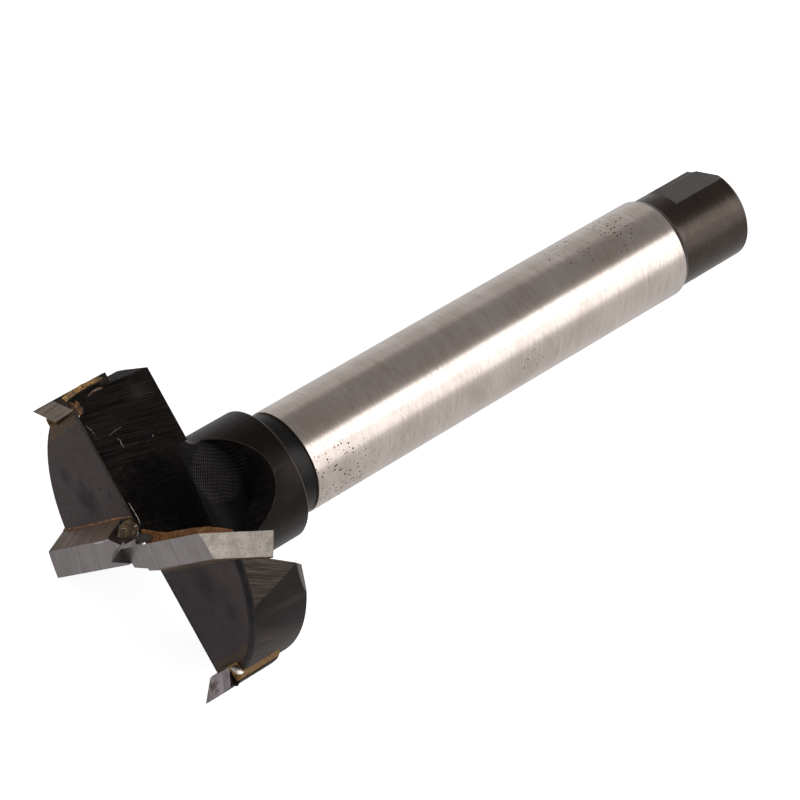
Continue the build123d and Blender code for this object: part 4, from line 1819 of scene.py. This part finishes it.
@dataclass
class GulletMarks:
    """The brown run in each gullet's corner, the burr on its front edge and light scratches on its face."""

    deposits: Deposits
    front: float = FRONT
    face: tuple[float, float] = (FACE_TURN, FACE_LEAN)
    band: Outline = ((1.59, 0.16, 18.52), (1.15, -0.3, 17.97), (0.49, -1.06, 17.06), (0.22, -1.42, 16.63),
                     (-0.06, -2.26, 15.45), (-0.37, -3.16, 14.2), (-0.76, -3.93, 13.17),
                     (-1.41, -4.75, 12.16), (-1.98, -5.52, 11.4), (-2.98, -5.16, 12.12),
                     (-2.08, -3.07, 14.96), (-0.8, -0.38, 18.57))
    burr: tuple[tuple[float, float], ...] = ((4.61, 0.1), (3.7, -0.24), (2.9, -0.46), (2.2, -0.45),
                                             (1.45, 0.2))
    scratches: tuple[Outline, ...] = (
        ((13.29, 2.82, 18.3), (12.73, 2.55, 18.08), (11.98, 2.28, 17.95)),
        ((11.41, 1.52, 17.01), (11.69, 1.2, 16.41), (11.77, 1.01, 16.1), (11.84, 0.64, 15.52)),
        ((10.93, 1.06, 16.48), (10.64, 0.83, 16.24), (10.18, 0.79, 16.35), (9.78, 0.63, 16.25)),
        ((9.98, -1.09, 13.57), (9.7, -1.16, 13.6)),
    )

    def build(self) -> None:
        """Places a run in both gullets, and the burr and the scratches in the one that is seen."""
        face, top, deposits = leaning(*self.face), np.array(AXIS), self.deposits
        for number in (1, 2):
            up = np.array(on_half(number, face))
            run = Puddle(f"corner_run_{number}", outline_on(number, self.band), up, 0.12, ragged=0.03,
                         seed=10 + number)
            run.build(deposits.brown)
        edge = tuple((x, y, self.front) for x, y in self.burr)
        Bead("front_burr", edge, top, 0.035, 0.03, lumpy=0.9, seed=21).build(deposits.burr, "steel")
        for count, path in enumerate(self.scratches):
            scratch = Bead(f"face_scratch_{count + 1}", path, face, 0.045, 0.012, lumpy=0.9, sink=0.02,
                           seed=30 + count)
            scratch.build(deposits.burr, "steel")


@dataclass
class SpurBrass:
    """Brass over each spur's trailing side, lumps at its foot, and black sheets of painted shade in the dark
    gap beside its leading side and in the gap beside the smear.
    """

    deposits: Deposits
    face: tuple[float, float] = (FACE_TURN, FACE_LEAN)
    trailing_side: float = SPUR_TRAILING_SIDE
    leading_side: float = SPUR_LEADING_SIDE
    smear: Outline = ((16.88, 2.98, 19.58), (17.2, 3.03, 18.71), (17.28, 3.05, 16.83), (17.14, 3.02, 14.88),
                      (16.8, 2.96, 14.17), (16.64, 2.93, 14.79), (16.73, 2.95, 16.17), (16.69, 2.94, 17.76),
                      (16.68, 2.94, 18.93), (16.37, 2.89, 19.24))
    gap: Outline = ((16.37, 2.8, 19.2), (16.6, 2.84, 17.81), (16.6, 2.84, 15.76), (16.56, 2.83, 14.9),
                    (15.96, 2.72, 15.05), (15.5, 2.64, 16.2), (15.0, 2.56, 17.1), (15.3, 2.61, 17.9),
                    (16.1, 2.75, 18.6))
    clot: Outline = ((16.36, 2.88, 18.98), (16.25, 2.86, 18.27), (15.79, 2.78, 18.03), (15.38, 2.71, 17.88),
                     (14.92, 2.63, 17.89), (14.75, 2.6, 18.25), (14.58, 2.57, 18.61), (14.91, 2.63, 18.8),
                     (15.41, 2.72, 18.9), (15.87, 2.8, 19.14))
    lump: Outline = ((16.1, 3.4, 18.2), (15.9, 3.2, 17.85), (15.6, 3.05, 17.74), (15.0, 2.91, 17.81),
                     (14.49, 2.88, 17.94), (14.5, 3.05, 18.2), (15.05, 3.1, 18.1), (15.6, 3.3, 18.25))
    blob: Outline = ((14.88, 3.25, 18.45), (14.9, 3.15, 18.2), (14.48, 3.1, 18.25), (14.24, 3.15, 18.45))
    run: Outline = ((15.94, 2.55, 16.92), (16.23, 2.23, 16.33), (16.28, 1.93, 15.85), (16.24, 1.62, 15.4))
    leading_gap: Outline = ((14.24, 7.54, 19.16), (14.46, 7.66, 18.95), (15.04, 7.96, 18.9),
                            (14.95, 7.92, 18.43), (15.47, 8.19, 18.9), (15.7, 8.32, 19.4),
                            (15.6, 8.26, 19.7), (14.93, 7.91, 19.6))
    leading_blob: Outline = ((13.56, 8.39, 19.42), (13.52, 8.37, 18.85), (13.92, 8.58, 18.51),
                             (14.55, 8.91, 18.38), (14.64, 8.96, 18.85), (14.45, 8.86, 19.23),
                             (14.15, 8.7, 19.37))

    def puddle(self, name: str, number: int, outline: Outline, up: np.ndarray, height: float,
               seed: int) -> Puddle:
        """A lump beside one spur, its name and its seed carried on by the spur's number."""
        return Puddle(f"{name}_{number}", outline_on(number, outline), up, height, seed=seed + number)

    def build(self) -> None:
        """Places the clot on the spur that shows it, and everything else on both."""
        trailing, leading = on_turn(self.trailing_side), on_turn(self.leading_side)
        face, deposits = leaning(*self.face), self.deposits
        clot = Puddle("spur_clot", self.clot, trailing, 0.3, lumpy=0.8, ragged=0.14, seed=55)
        clot.build(deposits.clot)
        for number in (1, 2):
            side, out, ahead = (np.array(on_half(number, way)) for way in (trailing, face, leading))
            self.puddle("spur_smear", number, self.smear, side, 0.06, 40).build(deposits.gold)
            # The gap beside the smear is a black sheet of painted shade.
            self.puddle("spur_gap", number, self.gap, side, 0.03, 42).build(deposits.flux)
            self.puddle("spur_lump", number, self.lump, out, 0.1, 44).build(deposits.pink)
            self.puddle("spur_blob", number, self.blob, out, 0.08, 46).build(deposits.silver_and_glint)
            run = Bead(f"spur_run_{number}", outline_on(number, self.run), out, 0.22, 0.05, seed=48 + number)
            run.build(deposits.pink)
            # The gap beside the leading side is a black sheet of painted shade.
            self.puddle("leading_gap", number, self.leading_gap, ahead, 0.03, 50).build(deposits.flux)
            self.puddle("leading_blob", number, self.leading_blob, ahead, 0.09, 52).build(deposits.silver_and_glint)


@dataclass
class Camera:
    """The camera at the photograph's viewing angle, placed about the bit's own axis."""

    place: Place = (86.86, -293.29, 165.13)
    right: Place = (-0.3573, -0.5665, -0.7426)
    up: Place = (0.9011, 0.0, -0.4336)
    lens: float = 147.13
    sensor: float = 36.0
    nearest: float = 0.01
    furthest: float = 20.0

    def build(self) -> bpy.types.Object:
        """Makes the camera and gives it to the scene.

        Returns:
            The camera.
        """
        data = bpy.data.cameras.new("camera")
        data.lens, data.sensor_width = self.lens, self.sensor
        data.clip_start, data.clip_end = self.nearest, self.furthest
        camera = bpy.data.objects.new("camera", data)
        right, up = BIT.direction(self.right).normalized(), BIT.direction(self.up).normalized()
        back = right.cross(up).normalized()
        turned = Matrix((right, back.cross(right), back)).transposed().to_4x4()
        camera.matrix_world = Matrix.Translation(BIT.spot(self.place)) @ turned
        bpy.context.scene.collection.objects.link(camera)
        bpy.context.scene.camera = camera
        return camera


@dataclass(frozen=True)
class Softbox:
    """A soft rectangular lamp, told by the directions from the bit to the middles of its two long edges."""

    name: str
    top: Place
    bottom: Place
    radiance: float
    width: float = 1.0
    distance: float = 1.0

    def build(self) -> bpy.types.Object:
        """Hangs the lamp: its power is its radiance times its area times pi.

        Returns:
            The lamp.
        """
        top, bottom = Vector(self.top).normalized(), Vector(self.bottom).normalized()
        away = (top + bottom).normalized()
        rise = (top - bottom).normalized()
        aside = rise.cross(away).normalized()
        height = 2.0 * self.distance * np.tan(0.5 * top.angle(bottom))
        data = bpy.data.lights.new(self.name, "AREA")
        data.shape, data.size, data.size_y = "RECTANGLE", self.width, height
        data.energy = self.radiance * self.width * height * np.pi
        lamp = bpy.data.objects.new(self.name, data)
        turned = Matrix((aside, rise, aside.cross(rise))).transposed().to_4x4()
        lamp.matrix_world = Matrix.Translation(away * self.distance) @ turned
        bpy.context.scene.collection.objects.link(lamp)
        return lamp


@dataclass
class Studio:
    """A white floor with a low round wall, a dim room about them and soft lamps one under the other.

    seen_glow and mirrored_glow lift the floor's white where the camera or a reflection sees it. The
    lamps share their long edges: each lies between two neighbouring directions in lamp_edges.
    """

    floor_half: float = 3.0
    floor_level: float = -0.0002
    floor_white: float = 0.8
    seen_glow: float = 0.86
    mirrored_glow: float = 0.33
    wall_radius: float = 1.6
    wall_height: float = 0.76
    wall_columns: int = 96
    room: float = 0.3
    room_tint: tuple[float, float, float] = (1.0, 0.96, 0.93)
    lamp_edges: Outline = ((0.551, -0.388, 0.739), (0.52, -0.69, 0.5), (0.5, -0.8, 0.33),
                           (0.49, -0.845, 0.21), (0.48, -0.876, 0.06))
    lamps: tuple[tuple[str, float], ...] = (("upper_soft", 2.5), ("middle_soft", 1.2), ("lower_soft", 1.25),
                                            ("lowest_soft", 1.1))

    def floor_material(self) -> bpy.types.Material:
        """White that takes the bit's shadow, lifted towards white where the camera or a reflection sees it.

        Returns:
            The material.
        """
        made = bpy.data.materials.new("floor_white")
        made.use_nodes = True
        made.node_tree.nodes.clear()
        graph = Graph(made.node_tree)
        matt = graph.node("BsdfDiffuse", {"Color": (self.floor_white,) * 3 + (1.0,)})
        path = graph.node("LightPath").outputs
        mirrored = graph.math("MAXIMUM", path["Is Glossy Ray"], path["Is Transmission Ray"])
        glow = graph.weighed((path["Is Camera Ray"], self.seen_glow), (mirrored, self.mirrored_glow))
        lift = graph.node("Emission", {"Strength": glow})
        both = graph.node("AddShader", {0: matt.outputs[0], 1: lift.outputs[0]})
        graph.node("OutputMaterial", {0: both.outputs[0]})
        return made

    def staged(self, name: str, points: list[Any], faces: list[Any], finish: bpy.types.Material) -> None:
        """Puts a piece of the studio into the scene.

        Args:
            name: its name.
            points: its corners in metres.
            faces: the corners' numbers for each face.
            finish: its material.
        """
        mesh = bpy.data.meshes.new(name)
        mesh.from_pydata(points, [], faces)
        mesh.materials.append(finish)
        piece = bpy.data.objects.new(name, mesh)
        bpy.context.scene.collection.objects.link(piece)

    def floor(self, finish: bpy.types.Material) -> None:
        """A square of floor under the bit."""
        half, level = self.floor_half, self.floor_level
        corners = [(-half, -half, level), (half, -half, level), (half, half, level), (-half, half, level)]
        self.staged("floor", corners, [(0, 1, 2, 3)], finish)

    def wall(self, finish: bpy.types.Material) -> None:
        """A low round wall in the floor's white, which closes the horizon in reflections.

        Args:
            finish: the floor's material.
        """
        turns = np.linspace(0.0, 2.0 * np.pi, self.wall_columns, endpoint=False)
        level = np.full(len(turns), self.floor_level)
        foot = np.stack([np.cos(turns) * self.wall_radius, np.sin(turns) * self.wall_radius, level], -1)
        points = np.concatenate([foot, foot + np.array([0.0, 0.0, self.wall_height])])
        inward = grid_faces(2, self.wall_columns)[:, ::-1]
        self.staged("wall", points.tolist(), inward.tolist(), finish)

    def world(self) -> None:
        """An even dim room, a little warm."""
        world = bpy.data.worlds.new("room")
        world.use_nodes = True
        back = world.node_tree.nodes["Background"]
        back.inputs[0].default_value = tuple(self.room * share for share in self.room_tint) + (1.0,)
        back.inputs[1].default_value = 1.0
        bpy.context.scene.world = world

    def build(self) -> None:
        """Sets the whole studio up."""
        bpy.context.scene.view_settings.view_transform = "Standard"
        finish = self.floor_material()
        self.floor(finish)
        self.wall(finish)
        self.world()
        for (name, radiance), top, bottom in zip(self.lamps, self.lamp_edges, self.lamp_edges[1:]):
            Softbox(name, top, bottom, radiance).build()


def main() -> None:
    """Builds the studio and every piece of the bit."""
    logging.basicConfig(level=logging.INFO)
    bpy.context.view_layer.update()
    effects = Effects()
    Studio().build()
    Camera().build()
    Shank(effects).build()
    Head(effects).build()
    for number in (1, 2):
        turned = HALF_TURN * (number - 1)
        open_sides = ((FACE_TURN + turned, FACE_LEAN), (SPUR_TRAILING_SIDE + turned, 0.0))
        Cutter(effects, number).build()
        Spur(effects, number).build()
        BrazeFilm(effects, f"cutter_braze_{number}", 0.35).build()
        BrazeFilm(effects, f"spur_braze_{number}", 0.7, open_sides).build()
    deposits = Deposits(effects)
    CentreBrass(deposits).build()
    GulletMarks(deposits).build()
    SpurBrass(deposits).build()


if __name__ == "__main__":
    main()
